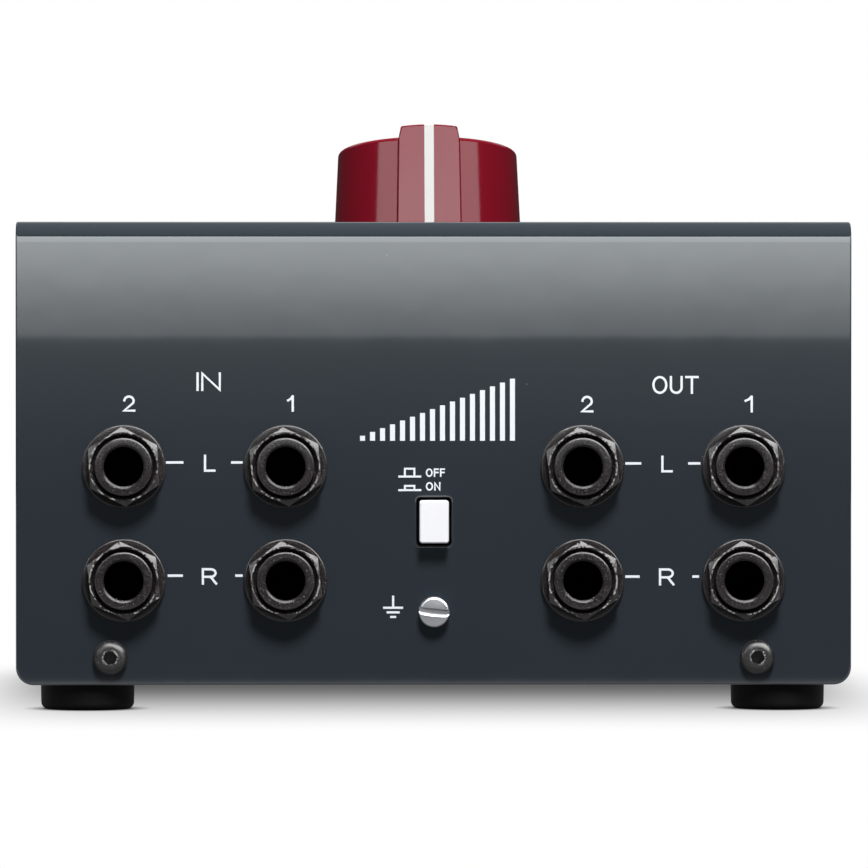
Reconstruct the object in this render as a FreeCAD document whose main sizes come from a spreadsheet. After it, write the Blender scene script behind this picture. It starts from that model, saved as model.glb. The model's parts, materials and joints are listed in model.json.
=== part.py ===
import FreeCAD, Part
import os
import re

import Sketcher

# Desktop passive monitor controller: a wedge-shaped folded steel case with eight quarter-inch jacks and a
# latching push switch on its rear panel, a stepped volume switch with a large pointer knob and four push
# switches on its sloped deck.
#
# Frame: millimetres, +Z up, the feet stand on Z = 0, +X is the user's right, the user sits on the -Y side
# and the jacks leave through the rear panel on the +Y side. The origin is under the middle of the outer box.
# Pieces on the deck are drawn in the deck's own frame: origin on the deck's outer face at the knob's axis,
# Z along the knob's shaft. Pieces on the rear panel are drawn with Z out of the panel.

DRIVING = [
    # case
    ("case_width", 138.0, "case across its sides"),
    ("case_depth", 130.0, "case from the front panel to the rear panel"),
    ("rear_height", 76.6, "rear panel from its lower edge to the top of its bend"),
    ("deck_slope", 10.0, "fall of the deck towards the user, degrees"),
    ("sheet_gauge", 1.5, "steel sheet of the cover and the tray"),
    ("bend_inside", 1.4, "inner radius of every bend"),
    ("edge_round", 0.35, "rounding of the cover's outer edges"),
    ("seam_gap", 0.15, "gap between the tray and the cover"),
    ("tab_width", 13.0, "screw tab of the tray"),
    ("tab_height", 8.2, "screw tab above the case's lower edge"),
    ("cover_screw_inset", 15.6, "cover screw from the side of the case"),
    ("cover_screw_rise", 4.6, "cover screw above the case's lower edge"),
    # feet
    ("foot_height", 4.3, "rubber foot below the tray"),
    ("foot_radius", 7.7, "foot at its top"),
    ("foot_base_radius", 7.25, "foot at the floor"),
    ("foot_edge", 0.8, "bevel of the foot's lower edge"),
    ("foot_inset_side", 11.5, "foot centre from the side of the case"),
    ("foot_inset_end", 10.0, "foot centre from the front or rear of the case"),
    ("foot_recess_radius", 3.6, "recess for the foot screw's head"),
    ("foot_web", 2.0, "rubber between the screw head and the tray"),
    # screws, nuts and standoffs
    ("cut_spare", 0.5, "what a cutting sketch reaches past the stock"),
    ("screw_radius", 1.5, "M3 shank"),
    ("screw_point", 0.3, "bevel at a screw's point"),
    ("screw_slack", 0.2, "radial room of a through hole for M3"),
    ("thread_slack", 0.02, "radial room of a tapped hole"),
    ("button_head_radius", 2.85, "button head of a cover screw"),
    ("button_head_height", 1.65, "button head of a cover screw"),
    ("button_head_bevel", 1.2, "button head of a cover screw"),
    ("hex_socket_width", 2.1, "socket across its flats"),
    ("hex_socket_depth", 1.0, "socket of a cover screw"),
    ("cover_screw_length", 6.0, "cover screw under its head"),
    ("pan_head_radius", 2.8, "pan head of a foot or board screw"),
    ("pan_head_height", 1.8, "pan head of a foot or board screw"),
    ("pan_head_bevel", 0.8, "pan head of a foot or board screw"),
    ("cross_width", 0.7, "wing of a cross recess"),
    ("cross_span", 3.0, "cross recess over its wings"),
    ("cross_depth", 1.1, "cross recess"),
    ("foot_screw_length", 7.2, "foot screw under its head"),
    ("board_screw_length", 5.0, "deck board screw under its head"),
    ("nut_flats", 5.5, "M3 nut and standoff across flats"),
    ("nut_height", 2.4, "M3 nut"),
    ("nut_bevel", 30.0, "bevel of a nut's corners from level, degrees"),
    # earth post
    ("earth_rise", 12.1, "earth screw above the case's lower edge"),
    ("earth_head_radius", 2.52, "slotted head"),
    ("earth_head_height", 1.7, "slotted head"),
    ("earth_head_bevel", 0.5, "slotted head"),
    ("earth_slot_width", 0.8, "driver slot"),
    ("earth_slot_depth", 0.8, "driver slot"),
    ("earth_slot_tilt", 6.0, "turn of the slot from level, degrees"),
    ("earth_screw_length", 9.0, "earth screw under its head"),
    ("lug_gauge", 0.8, "solder lug"),
    ("lug_radius", 3.6, "eye of the solder lug"),
    ("lug_length", 9.0, "tail of the solder lug"),
    ("lug_tail_width", 2.4, "tail of the solder lug"),
    ("lug_eyelet_radius", 0.7, "wire hole in the lug's tail"),
    ("lug_eyelet_inset", 1.8, "wire hole from the end of the tail"),
    ("washer_gauge", 0.6, "lock washer"),
    ("washer_radius", 3.1, "lock washer"),
    ("washer_teeth", 8.0, "teeth of the lock washer"),
    ("washer_notch", 0.55, "depth between two teeth of the lock washer"),
    # quarter-inch jacks
    ("jack_inset_side", 17.85, "outer column of jacks from the side of the case"),
    ("jack_column_pitch", 26.65, "from one column of a pair to the next"),
    ("jack_low_rise", 17.3, "lower row above the case's lower edge"),
    ("jack_row_pitch", 18.8, "upper row above the lower row"),
    ("jack_bore_radius", 3.25, "bore for a quarter-inch plug"),
    ("jack_bore_depth", 32.0, "bore from the nose to its blind end"),
    ("jack_nose", 3.5, "threaded nose proud of the panel"),
    ("nose_radius", 4.5, "threaded nose"),
    ("nose_slack", 0.2, "radial room of the nose in its panel hole"),
    ("jack_mouth", 0.35, "chamfer of the bore's mouth and the nose"),
    ("jack_body_width", 16.0, "jack housing across"),
    ("jack_body_height", 17.6, "jack housing up and down"),
    ("jack_body_depth", 29.0, "jack housing behind the panel"),
    ("jack_body_edge", 1.2, "long edges of the housing"),
    ("ring_nut_flange", 6.87, "flange of the jack's ring nut"),
    ("ring_nut_flange_gauge", 0.9, "flange of the jack's ring nut"),
    ("ring_nut_flats", 11.4, "ring nut across flats"),
    ("ring_nut_turn", 35.0, "corner of a tightened ring nut, degrees"),
    ("ring_nut_height", 3.0, "ring nut with its flange"),
    ("ring_nut_thread", 4.6, "bore of the ring nut"),
    ("ring_nut_mouth", 0.6, "countersink at the ring nut's front"),
    ("contact_gauge", 0.4, "contact spring strip"),
    ("contact_width", 1.8, "contact spring strip"),
    ("contact_offset", 6.0, "tail of a contact from the bore's axis"),
    ("contact_clear", 0.2, "contact tip outside the empty bore"),
    ("contact_leg", 8.0, "sprung leg of a contact"),
    ("contact_bend", 0.96, "bend of a contact inwards of its tail"),
    ("channel_width", 2.4, "channel in the housing for a contact"),
    ("channel_inward", 1.8, "channel inwards of a contact's tail"),
    ("channel_outward", 0.8, "channel outwards of a contact's tail"),
    ("channel_spare", 0.6, "channel past a contact's bend"),
    ("contact_window", 6.0, "window from a channel into the bore"),
    ("contact_window_spare", 1.0, "window past a contact's tip"),
    ("tip_contact_depth", 26.0, "tip contact behind the panel's face"),
    ("ring_contact_depth", 19.0, "ring contact behind the panel's face"),
    ("sleeve_contact_depth", 12.0, "sleeve contact behind the panel's face"),
    # boards and ribbon
    ("board_gauge", 1.6, "printed boards"),
    ("rear_board_inset", 6.0, "rear board from the side of the case"),
    ("rear_board_bottom", 9.2, "rear board above the case's lower edge"),
    ("rear_board_top", 48.0, "rear board above the case's lower edge"),
    ("tail_slack", 0.25, "room around a contact's tail in the board"),
    ("tail_length", 1.5, "contact's tail past the board"),
    ("deck_board_inset", 10.0, "deck board from the side of the case"),
    ("deck_board_rear", -26.0, "deck board's rear edge, deck frame"),
    ("deck_board_front", -63.0, "deck board's front edge, deck frame"),
    ("standoff_length", 18.0, "standoff under the deck"),
    ("standoff_inset", 7.0, "standoff from the side of the deck board"),
    ("standoff_rear", -31.0, "rear standoffs, deck frame"),
    ("standoff_front", -58.0, "front standoffs, deck frame"),
    ("ribbon_width", 13.0, "ribbon cable"),
    ("ribbon_gauge", 1.0, "ribbon cable"),
    ("ribbon_bend", 7.0, "inner radius of the ribbon's bend"),
    ("ribbon_x", 0.0, "ribbon from the middle"),
    ("ribbon_rise", 15.0, "ribbon above the case's lower edge"),
    ("ribbon_deck_y", -46.0, "ribbon socket on the deck board, deck frame"),
    ("socket_length", 20.0, "ribbon socket"),
    ("socket_width", 8.0, "ribbon socket"),
    ("socket_height", 6.5, "ribbon socket"),
    ("key_width", 4.0, "keying notch of a ribbon socket"),
    ("key_depth", 1.0, "keying notch of a ribbon socket"),
    ("key_height", 4.3, "keying notch of a ribbon socket"),
    # push switches
    ("cap_width", 4.85, "push-button cap across"),
    ("cap_height", 7.08, "push-button cap up and down"),
    ("cap_length", 6.4, "push-button cap along its travel"),
    ("cap_corner", 0.45, "long edges of the cap"),
    ("cap_edge", 0.27, "bevel around the cap's face"),
    ("cap_proud", 2.2, "cap in front of the panel when it is out"),
    ("cap_wall", 0.9, "cap between the plunger's socket and its face"),
    ("button_travel", 2.0, "push-button travel"),
    ("window_gap", 0.47, "gap between the cap and the panel"),
    ("window_corner", 0.65, "corner of the window in the panel"),
    ("switch_room", 0.6, "gap from the pressed cap to its switch"),
    ("switch_width", 8.0, "push switch across"),
    ("switch_height", 8.6, "push switch up and down"),
    ("switch_edge", 0.5, "long edges of the push switch"),
    ("flute_depth", 0.4, "recess in the flanks of the push switch"),
    ("flute_width", 4.3, "recess in the flanks of the push switch"),
    ("flute_margin", 1.5, "recess from the ends of the push switch"),
    ("plunger_side", 3.0, "square plunger"),
    ("plunger_gap", 0.1, "gap around the plunger in its switch"),
    ("plunger_hold", 4.0, "plunger inside its switch when it is out"),
    ("plunger_room", 0.4, "well of the switch past the pressed plunger"),
    ("rear_button_rise", 27.0, "rear push button above the case's lower edge"),
    ("selector_count", 4.0, "deck buttons"),
    ("selector_pitch", 28.0, "from one deck button to the next"),
    ("selector_y", -45.0, "row of deck buttons, deck frame"),
    # volume knob
    ("knob_setback", 54.0, "knob's axis from the rear panel, level"),
    ("knob_gap", 0.8, "knob above the deck"),
    ("knob_base_radius", 16.4, "knob at the deck"),
    ("knob_rim_radius", 15.4, "knob at its rim"),
    ("skirt_height", 21.95, "rim above the deck"),
    ("rim_width", 1.7, "rim around the dished top"),
    ("dish_depth", 0.8, "dished top below the rim"),
    ("rim_round", 0.7, "rounding of the rim"),
    ("knob_height", 23.9, "pointer bar above the deck"),
    ("bar_width", 9.4, "pointer bar at its top"),
    ("bar_proud", 0.5, "pointer end past the rim"),
    ("bar_lift", 0.4, "foot of the pointer bar above the skirt's lower edge"),
    ("bar_draft", 2.1, "draft of the bar's sides, degrees"),
    ("bar_corner", 1.2, "upright edges of the bar"),
    ("bar_round", 0.6, "top edges of the bar"),
    ("inlay_width", 1.6, "white pointer line"),
    ("inlay_depth", 0.6, "white pointer line"),
    ("knob_cavity_radius", 10.2, "room for the bushing nut"),
    ("knob_cavity_top", 7.4, "room for the bushing nut, above the deck"),
    ("insert_radius", 5.0, "brass insert"),
    ("insert_top", 18.0, "brass insert above the deck"),
    ("grub_height", 12.0, "grub screw above the deck"),
    ("grub_length", 5.0, "grub screw"),
    ("grub_socket_width", 1.5, "grub screw's socket across its flats"),
    ("grub_socket_depth", 2.0, "grub screw's socket"),
    # stepped volume switch
    ("shaft_radius", 3.0, "volume shaft"),
    ("running_gap", 0.05, "radial room of the shaft in its bushing"),
    ("shaft_top", 17.0, "shaft above the deck"),
    ("shaft_chamfer", 0.6, "end of the shaft"),
    ("bushing_radius", 4.75, "threaded bushing"),
    ("bushing_proud", 6.4, "bushing above the deck"),
    ("bushing_slack", 0.15, "radial room of the bushing in the deck"),
    ("bushing_nut_flats", 14.0, "bushing nut across flats"),
    ("bushing_nut_height", 2.4, "bushing nut"),
    ("bushing_washer_radius", 7.8, "washer under the bushing nut"),
    ("bushing_washer_gauge", 0.7, "washer under the bushing nut"),
    ("index_radius", 12.5, "detent housing"),
    ("index_height", 7.0, "detent housing under the deck"),
    ("index_wall", 1.1, "detent housing"),
    ("index_roof", 1.5, "detent housing"),
    ("tie_offset", 15.2, "tie screw from the shaft"),
    ("ear_radius", 3.0, "ear around a tie screw"),
    ("detent_teeth", 24.0, "teeth of the detent wheel, 15 degrees each"),
    ("detent_radius", 8.6, "tips of the detent wheel"),
    ("detent_gauge", 3.0, "detent wheel"),
    ("scallop_radius", 1.0, "hollow between two teeth"),
    ("scallop_offset", 0.15, "centre of a hollow outside the tips"),
    ("detent_rise", 0.6, "detent wheel below the housing's roof"),
    ("ball_radius", 1.2, "detent ball"),
    ("ball_gap", 0.06, "ball outside the passing teeth"),
    ("leaf_gauge", 0.25, "leaf spring behind a ball"),
    ("leaf_angle", 80.0, "sweep of a leaf spring, degrees"),
    ("wafer_count", 4.0, "switch wafers, one for each leg of two balanced channels"),
    ("wafer_gauge", 1.2, "wafer and index plate"),
    ("wafer_radius", 13.0, "wafer"),
    ("spacer_length", 4.0, "spacer between wafers"),
    ("spacer_radius", 2.3, "spacer"),
    ("tie_radius", 1.25, "tie screw shank"),
    ("tie_slack", 0.15, "radial room around a tie screw"),
    ("tie_head_radius", 2.2, "tie screw head"),
    ("tie_head_height", 1.6, "tie screw head"),
    ("tie_head_bevel", 0.6, "tie screw head"),
    ("tie_slot_width", 0.6, "tie screw slot"),
    ("tie_slot_depth", 0.8, "tie screw slot"),
    ("tie_thread_gap", 1.5, "tie screw short of the detent housing's roof"),
    ("shaft_tail", 1.0, "shaft past the last wafer"),
    ("rotor_radius", 5.0, "rotor in a wafer"),
    ("rotor_gap", 0.1, "gap around a rotor"),
    ("hub_radius", 4.5, "rotor's hub, which carries the wiper arm"),
    ("hub_height", 0.85, "rotor's hub above its wafer"),
    ("wiper_gauge", 0.35, "wiper arm"),
    ("wiper_width", 2.2, "wiper arm"),
    ("wiper_reach", 12.0, "wiper arm from the shaft"),
    ("wiper_lift", 0.15, "wiper arm above its wafer"),
    ("step_count", 21.0, "volume positions"),
    ("step_angle", 15.0, "from one volume position to the next, degrees"),
    ("pin_radius", 11.2, "ring of wafer pins"),
    ("pin_width", 1.0, "wafer pin"),
    ("pin_gauge", 0.5, "wafer pin"),
    ("pin_length", 3.0, "wafer pin with the part in its wafer"),
    ("chip_radius", 8.6, "ring of resistors"),
    ("chip_length", 2.0, "resistor, outwards"),
    ("chip_width", 1.2, "resistor, around"),
    ("chip_gauge", 0.5, "resistor"),
]

DERIVED = [
    ("bend_outside", "bend_inside + sheet_gauge", "outer radius of every bend"),
    ("case_rear", "(case_depth + button_head_height - jack_nose) / 2", "rear panel's face, Y"),
    ("case_front", "case_rear - case_depth", "front panel's face, Y"),
    ("case_base", "foot_height", "case's lower edge, Z"),
    ("rear_top", "case_base + rear_height", "top of the rear bend, Z"),
    ("rear_corner", "rear_top + bend_outside * (1 / cos(deck_slope) + tan(deck_slope) - 1)",
     "where the deck's face meets the rear panel's, Z"),
    ("front_corner", "rear_corner - case_depth * tan(deck_slope)",
     "where the deck's face meets the front panel's, Z"),
    ("deck_gauge", "sheet_gauge / cos(deck_slope)", "deck sheet, straight down"),
    ("knob_y", "case_rear - knob_setback", "knob's axis at the deck, Y"),
    ("knob_z", "rear_corner - knob_setback * tan(deck_slope)", "knob's axis at the deck, Z"),
    ("tray_end", "sheet_gauge + seam_gap", "tray from the cover's outer face"),
    ("tray_lip", "rear_corner - deck_gauge - seam_gap / cos(deck_slope)", "tray's walls at the rear face, Z"),
    ("cover_screw_x", "case_width / 2 - cover_screw_inset", "cover screw"),
    ("cover_screw_z", "case_base + cover_screw_rise", "cover screw"),
    ("foot_x", "case_width / 2 - foot_inset_side", "foot"),
    ("foot_rear_y", "case_rear - foot_inset_end", "rear feet"),
    ("foot_front_y", "case_front + foot_inset_end", "front feet"),
    ("jack_outer_x", "case_width / 2 - jack_inset_side", "outer column of jacks"),
    ("jack_inner_x", "jack_outer_x - jack_column_pitch", "inner column of jacks"),
    ("standoff_x", "case_width / 2 - deck_board_inset - standoff_inset", "standoff from the middle"),
    ("jack_low_z", "case_base + jack_low_rise", "lower row of jacks"),
    ("jack_high_z", "jack_low_z + jack_row_pitch", "upper row of jacks"),
    ("jack_end", "sheet_gauge + jack_body_depth", "back of a jack housing behind the panel's face"),
    ("board_back", "jack_end + board_gauge", "back of the rear board behind the panel's face"),
    ("tail_end", "board_back + tail_length", "end of a contact's tail"),
    ("switch_face", "cap_length - cap_proud + button_travel + switch_room", "push switch behind the panel"),
    ("deck_board_face", "sheet_gauge + standoff_length", "deck board below the deck's face"),
    ("deck_board_back", "deck_board_face + board_gauge", "underside of the deck board"),
    ("selector_left", "-(selector_count - 1) / 2 * selector_pitch", "first deck button"),
    ("bar_drop", "knob_height - knob_gap - bar_lift", "height of the pointer bar's sides"),
    ("bar_end", "knob_rim_radius + bar_proud", "pointer end at its top"),
    ("bar_foot", "bar_end + bar_drop * tan(bar_draft)", "pointer end at its foot"),
    ("index_end", "sheet_gauge + index_height", "foot of the detent housing"),
    ("stack_top", "index_end + wafer_gauge", "foot of the index plate"),
    ("wafer_pitch", "spacer_length + wafer_gauge", "from one wafer to the next"),
    ("stack_end", "stack_top + wafer_count * wafer_pitch", "foot of the last wafer"),
    ("shaft_end", "stack_end + shaft_tail", "foot of the shaft"),
    ("ball_orbit", "detent_radius + ball_gap + ball_radius", "detent ball from the shaft"),
    ("leaf_inner", "ball_orbit + ball_radius", "inner face of a leaf spring"),
    ("ribbon_z", "case_base + ribbon_rise", "ribbon's level run"),
    ("ribbon_start", "case_rear - board_back - socket_height", "ribbon at the rear board's socket"),
    ("ribbon_top", "deck_board_back + socket_height", "ribbon at the deck board's socket"),
    ("ribbon_top_y", "knob_y + ribbon_deck_y * cos(deck_slope) + ribbon_top * sin(deck_slope)",
     "the same in the case's frame, Y"),
    ("ribbon_top_z", "knob_z + ribbon_deck_y * sin(deck_slope) - ribbon_top * cos(deck_slope)",
     "the same in the case's frame, Z"),
    ("ribbon_half_y", "ribbon_gauge / 2 * cos(deck_slope)", "half of the ribbon's gauge on its upper run, Y"),
    ("ribbon_half_z", "ribbon_gauge / 2 * sin(deck_slope)", "half of the ribbon's gauge on its upper run, Z"),
]

doc = FreeCAD.newDocument("MonitorController")
sheet = doc.addObject("Spreadsheet::Sheet", "Sizes")
for row, (alias, number, note) in enumerate(DRIVING, start=1):
    sheet.set(f"A{row}", note)
    sheet.set(f"B{row}", str(number))
    sheet.setAlias(f"B{row}", alias)
for row, (alias, formula, note) in enumerate(DERIVED, start=len(DRIVING) + 1):
    sheet.set(f"A{row}", note)
    sheet.set(f"B{row}", f"={formula}")
    sheet.setAlias(f"B{row}", alias)
doc.recompute()

ALIASES = {entry[0] for entry in DRIVING + DERIVED}
NODES = []


# ---------------------------------------------------------------- helpers

def formula_of(text):
    """Write each size's name in an expression as a reference to the sheet."""
    return re.sub(r"[a-z_]+", lambda word: f"Sizes.{word[0]}" if word[0] in ALIASES else word[0], str(text))


def value(text):
    """Work out an expression of the sheet's sizes."""
    return float(sheet.evalExpression(str(text)))


def bind(thing, **formulas):
    """Bind properties of an object to expressions, such as Length="case_width / 2"."""
    for name, formula in formulas.items():
        thing.setExpression(name.replace("__", "."), formula_of(formula))


def node(thing, label):
    """Name an object as one of the sub-parts that are written out."""
    thing.Label = label
    NODES.append(thing)
    return thing


def seat(thing, x="0", y="0", z="0", turn="0", axis=(1, 0, 0)):
    """Place an object in the case's frame, turned about one axis."""
    thing.Placement = FreeCAD.Placement(FreeCAD.Vector(), FreeCAD.Rotation(FreeCAD.Vector(*axis), 1))
    bind(thing, Placement__Base__x=x, Placement__Base__y=y, Placement__Base__z=z,
         Placement__Rotation__Angle=turn)
    return thing


def seat_on_deck(thing, x="0", y="0", z="0"):
    """Place an object in the deck's frame."""
    return seat(thing, x, f"knob_y + ({y}) * cos(deck_slope) - ({z}) * sin(deck_slope)",
                f"knob_z + ({y}) * sin(deck_slope) + ({z}) * cos(deck_slope)", "deck_slope")


def seat_on_rear(thing, x="0", z="0", y="case_rear"):
    """Place an object with its Z axis out of the rear panel and its Y axis down."""
    return seat(thing, x, y, z, "-90")


def seat_on_front(thing, x="0", z="0"):
    """Place an object with its Z axis out of the front panel."""
    return seat(thing, x, "case_front", z, "90")


def new_body(label):
    """Start a body."""
    body = doc.addObject("PartDesign::Body", label)
    body.Label = label
    return body


def new_sketch(body, name, role="XY_Plane", offset="0"):
    """Start a sketch on one of the body's own planes, moved along that plane's normal."""
    sketch = body.newObject("Sketcher::SketchObject", f"{body.Name}_{name}")
    plane = [datum for datum in body.Origin.OriginFeatures if datum.Role == role][0]
    sketch.AttachmentSupport = [(plane, "")]
    sketch.MapMode = "FlatFace"
    bind(sketch, AttachmentOffset__Base__z=offset)
    return sketch


def tilt_to_deck(sketch):
    """Lay a sketch of a body in the case's frame on the deck's outer face."""
    sketch.AttachmentOffset = FreeCAD.Placement(
        FreeCAD.Vector(), FreeCAD.Rotation(FreeCAD.Vector(1, 0, 0), 1))
    bind(sketch, AttachmentOffset__Base__y="knob_y", AttachmentOffset__Base__z="knob_z",
         AttachmentOffset__Rotation__Angle="deck_slope")
    return sketch


def pin_point(sketch, geometry, end, x, y):
    """Bind one point of a sketch to two expressions."""
    for text, kind, axis in ((x, "DistanceX", -2), (y, "DistanceY", -1)):
        number = value(text)
        if number == 0.0:
            sketch.addConstraint(Sketcher.Constraint("PointOnObject", geometry, end, axis))
            continue
        index = sketch.addConstraint(Sketcher.Constraint(kind, -1, 1, geometry, end, number))
        sketch.setExpression(f"Constraints[{index}]", formula_of(text))


def outline(sketch, points):
    """Draw a closed outline of straight lines whose corners are expressions."""
    spots = [FreeCAD.Vector(value(x), value(y), 0) for x, y in points]
    lines = []
    for index, spot in enumerate(spots):
        following = spots[(index + 1) % len(spots)]
        lines.append(sketch.addGeometry(Part.LineSegment(spot, following), False))
    for index, line in enumerate(lines):
        sketch.addConstraint(Sketcher.Constraint("Coincident", line, 2, lines[(index + 1) % len(lines)], 1))
    for line, (x, y) in zip(lines, points):
        pin_point(sketch, line, 1, x, y)


def rectangle(sketch, left, right, low, high):
    """Draw a rectangle between four expressions."""
    outline(sketch, [(left, low), (right, low), (right, high), (left, high)])


def middle_rectangle(sketch, x, y, width, height):
    """Draw a rectangle about a centre."""
    rectangle(sketch, f"{x} - ({width}) / 2", f"{x} + ({width}) / 2",
              f"{y} - ({height}) / 2", f"{y} + ({height}) / 2")


def circle(sketch, x, y, radius):
    """Draw a circle about a centre."""
    centre = FreeCAD.Vector(value(x), value(y), 0)
    ring = sketch.addGeometry(Part.Circle(centre, FreeCAD.Vector(0, 0, 1), value(radius)), False)
    pin_point(sketch, ring, 3, x, y)
    index = sketch.addConstraint(Sketcher.Constraint("Radius", ring, value(radius)))
    sketch.setExpression(f"Constraints[{index}]", formula_of(radius))


def hexagon(sketch, flats, turn="0"):
    """Draw a hexagon about the origin, from its width across flats and the angle of its first corner."""
    angles = [f"{turn} + {60 * step}" for step in range(6)]
    outline(sketch, [(f"({flats}) / 2 / cos(30) * cos({angle})", f"({flats}) / 2 / cos(30) * sin({angle})")
                     for angle in angles])


def feature(kind, sketch, length=None, back=False, both=False, through=False):
    """Add a pad or pocket of a sketch, and check that it changed the solid."""
    body = sketch.getParentGeoFeatureGroup()
    before = body.Shape.Volume if body.Tip else 0.0
    made = body.newObject(f"PartDesign::{kind}", f"{sketch.Name}_{kind}")
    made.Profile = sketch
    made.Reversed = back
    made.Midplane = both
    if through:
        made.Type = "ThroughAll"
    else:
        bind(made, Length=length)
    doc.recompute()
    changed = made.Shape.Volume - before
    if (kind == "Pad") != (changed > 0):
        raise RuntimeError(f"{made.Name} changes the volume by {changed:.3f}")
    return made


def turned(kind, sketch, sweep=None):
    """Revolve or groove a sketch about its own vertical axis."""
    body = sketch.getParentGeoFeatureGroup()
    made = body.newObject(f"PartDesign::{kind}", f"{sketch.Name}_{kind}")
    made.Profile = sketch
    made.ReferenceAxis = (sketch, ["V_Axis"])
    if sweep:
        bind(made, Angle=sweep)
        made.Midplane = True
    else:
        made.Angle = 360
    doc.recompute()
    return made


def turned_body(label, points):
    """Make a round piece from its half outline, given as radius and height."""
    body = new_body(label)
    sketch = new_sketch(body, "outline", "XZ_Plane")
    outline(sketch, points)
    turned("Revolution", sketch)
    return body


def dress_edges(kind, body, size, pick):
    """Round or bevel the edges of a body's solid that the pick function accepts."""
    base = body.Tip
    names = [f"Edge{index}" for index, edge in enumerate(base.Shape.Edges, start=1) if pick(edge)]
    if not names:
        raise RuntimeError(f"no edge of {body.Name} to dress")
    made = body.newObject(f"PartDesign::{kind}", f"{body.Name}_{kind}")
    made.Base = (base, names)
    bind(made, **{"Radius" if kind == "Fillet" else "Size": size})
    doc.recompute()
    return made


def runs_along(edge, axis):
    """Tell whether an edge is a straight line along the X, Y or Z axis."""
    if edge.Curve.TypeId != "Part::GeomLine":
        return False
    direction = edge.Curve.Direction
    return abs(abs(getattr(direction, axis)) - 1) < 1e-6


def near(number, text):
    """Compare a number with an expression."""
    return abs(number - value(text)) < 1e-4


def is_ring_at(edge, radius, height):
    """Tell whether an edge is a full circle of one radius at one height."""
    if edge.Curve.TypeId != "Part::GeomCircle":
        return False
    return near(edge.Curve.Radius, radius) and near(edge.Curve.Center.z, height)


def spans(edge, low, high):
    """Tell whether an edge's ends lie at two heights."""
    heights = sorted(vertex.Z for vertex in edge.Vertexes)
    return near(heights[0], low) and near(heights[-1], high)


def draft_sides(body, height, angle):
    """Lean the upright faces below a body's top face outwards as they go down from it."""
    base = body.Tip
    faces = [(f"Face{index}", face) for index, face in enumerate(base.Shape.Faces, start=1)
             if face.Surface.TypeId == "Part::GeomPlane"]
    top = [name for name, face in faces if near(face.BoundBox.ZMin, height)]
    sides = [name for name, face in faces if near(face.BoundBox.ZMax, height) and name not in top]
    made = body.newObject("PartDesign::Draft", f"{body.Name}_Draft")
    made.Base = (base, sides)
    made.NeutralPlane = (base, top)
    bind(made, Angle=angle)
    doc.recompute()
    return made


def polar(body, original, count, sweep):
    """Repeat features around the body's Z axis."""
    axis = [datum for datum in body.Origin.OriginFeatures if datum.Role == "Z_Axis"][0]
    pattern = body.newObject("PartDesign::PolarPattern", f"{body.Name}_pattern")
    pattern.Originals = [original]
    pattern.Axis = (axis, [""])
    bind(pattern, Angle=sweep, Occurrences=count)
    body.Tip = pattern
    doc.recompute()
    return pattern


def copies(label, master, places):
    """Make one sub-part of several copies of a master piece, each seated by its own function."""
    links = []
    for index, place in enumerate(places, start=1):
        link = doc.addObject("App::Link", f"{label}_copy_{index}")
        link.LinkedObject = master
        place(link)
        links.append(link)
    group = doc.addObject("Part::Compound", label)
    group.Links = links
    return node(group, label)


# ---------------------------------------------------------------- fasteners

def screw(label, head_radius, head_height, bevel, length, shank="screw_radius"):
    """A headed screw: seat at Z = 0, head with a bevelled top above it, shank below it."""
    return turned_body(label, [("0", f"-({length})"), (f"({shank}) - screw_point", f"-({length})"),
                               (shank, f"screw_point - ({length})"), (shank, "0"), (head_radius, "0"),
                               (head_radius, f"({head_height}) - ({bevel})"),
                               (f"({head_radius}) - ({bevel})", head_height), ("0", head_height)])


def button_screw(label):
    """Button head with a hexagon socket."""
    body = screw(label, "button_head_radius", "button_head_height", "button_head_bevel", "cover_screw_length")
    socket = new_sketch(body, "socket", offset="button_head_height")
    hexagon(socket, "hex_socket_width")
    feature("Pocket", socket, "hex_socket_depth")
    return body


def pan_screw(label, length):
    """Pan head with a cross recess."""
    body = screw(label, "pan_head_radius", "pan_head_height", "pan_head_bevel", length)
    for name, width, height in (("wing", "cross_span", "cross_width"),
                                ("cross", "cross_width", "cross_span")):
        recess = new_sketch(body, name, offset="pan_head_height")
        middle_rectangle(recess, "0", "0", width, height)
        feature("Pocket", recess, "cross_depth")
    return body


def hex_piece(label, flats, height, bore, bevel=True):
    """A nut or standoff: hexagon from Z = 0 up, bored through, its upper corners bevelled."""
    body = new_body(label)
    blank = new_sketch(body, "blank")
    hexagon(blank, flats)
    circle(blank, "0", "0", bore)
    feature("Pad", blank, height)
    if bevel:
        bevel_corners(body, flats, height)
    return body


def bevel_corners(body, flats, height):
    """Cut the corners at the upper end of a hexagon back to a cone."""
    corner = new_sketch(body, "corner", "XZ_Plane")
    start = f"({flats}) / 2"
    reach = f"({flats}) / 2 / cos(30) + cut_spare"
    outline(corner, [(start, f"({height}) + cut_spare"), (start, height),
                     (reach, f"({height}) - ({reach} - {start}) * tan(nut_bevel)"),
                     (reach, f"({height}) + cut_spare")])
    turned("Groove", corner)


# ---------------------------------------------------------------- case

def selector_places():
    """Each deck button's distance from the middle."""
    return [f"selector_left + {index} * selector_pitch" for index in range(int(value("selector_count")))]


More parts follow.
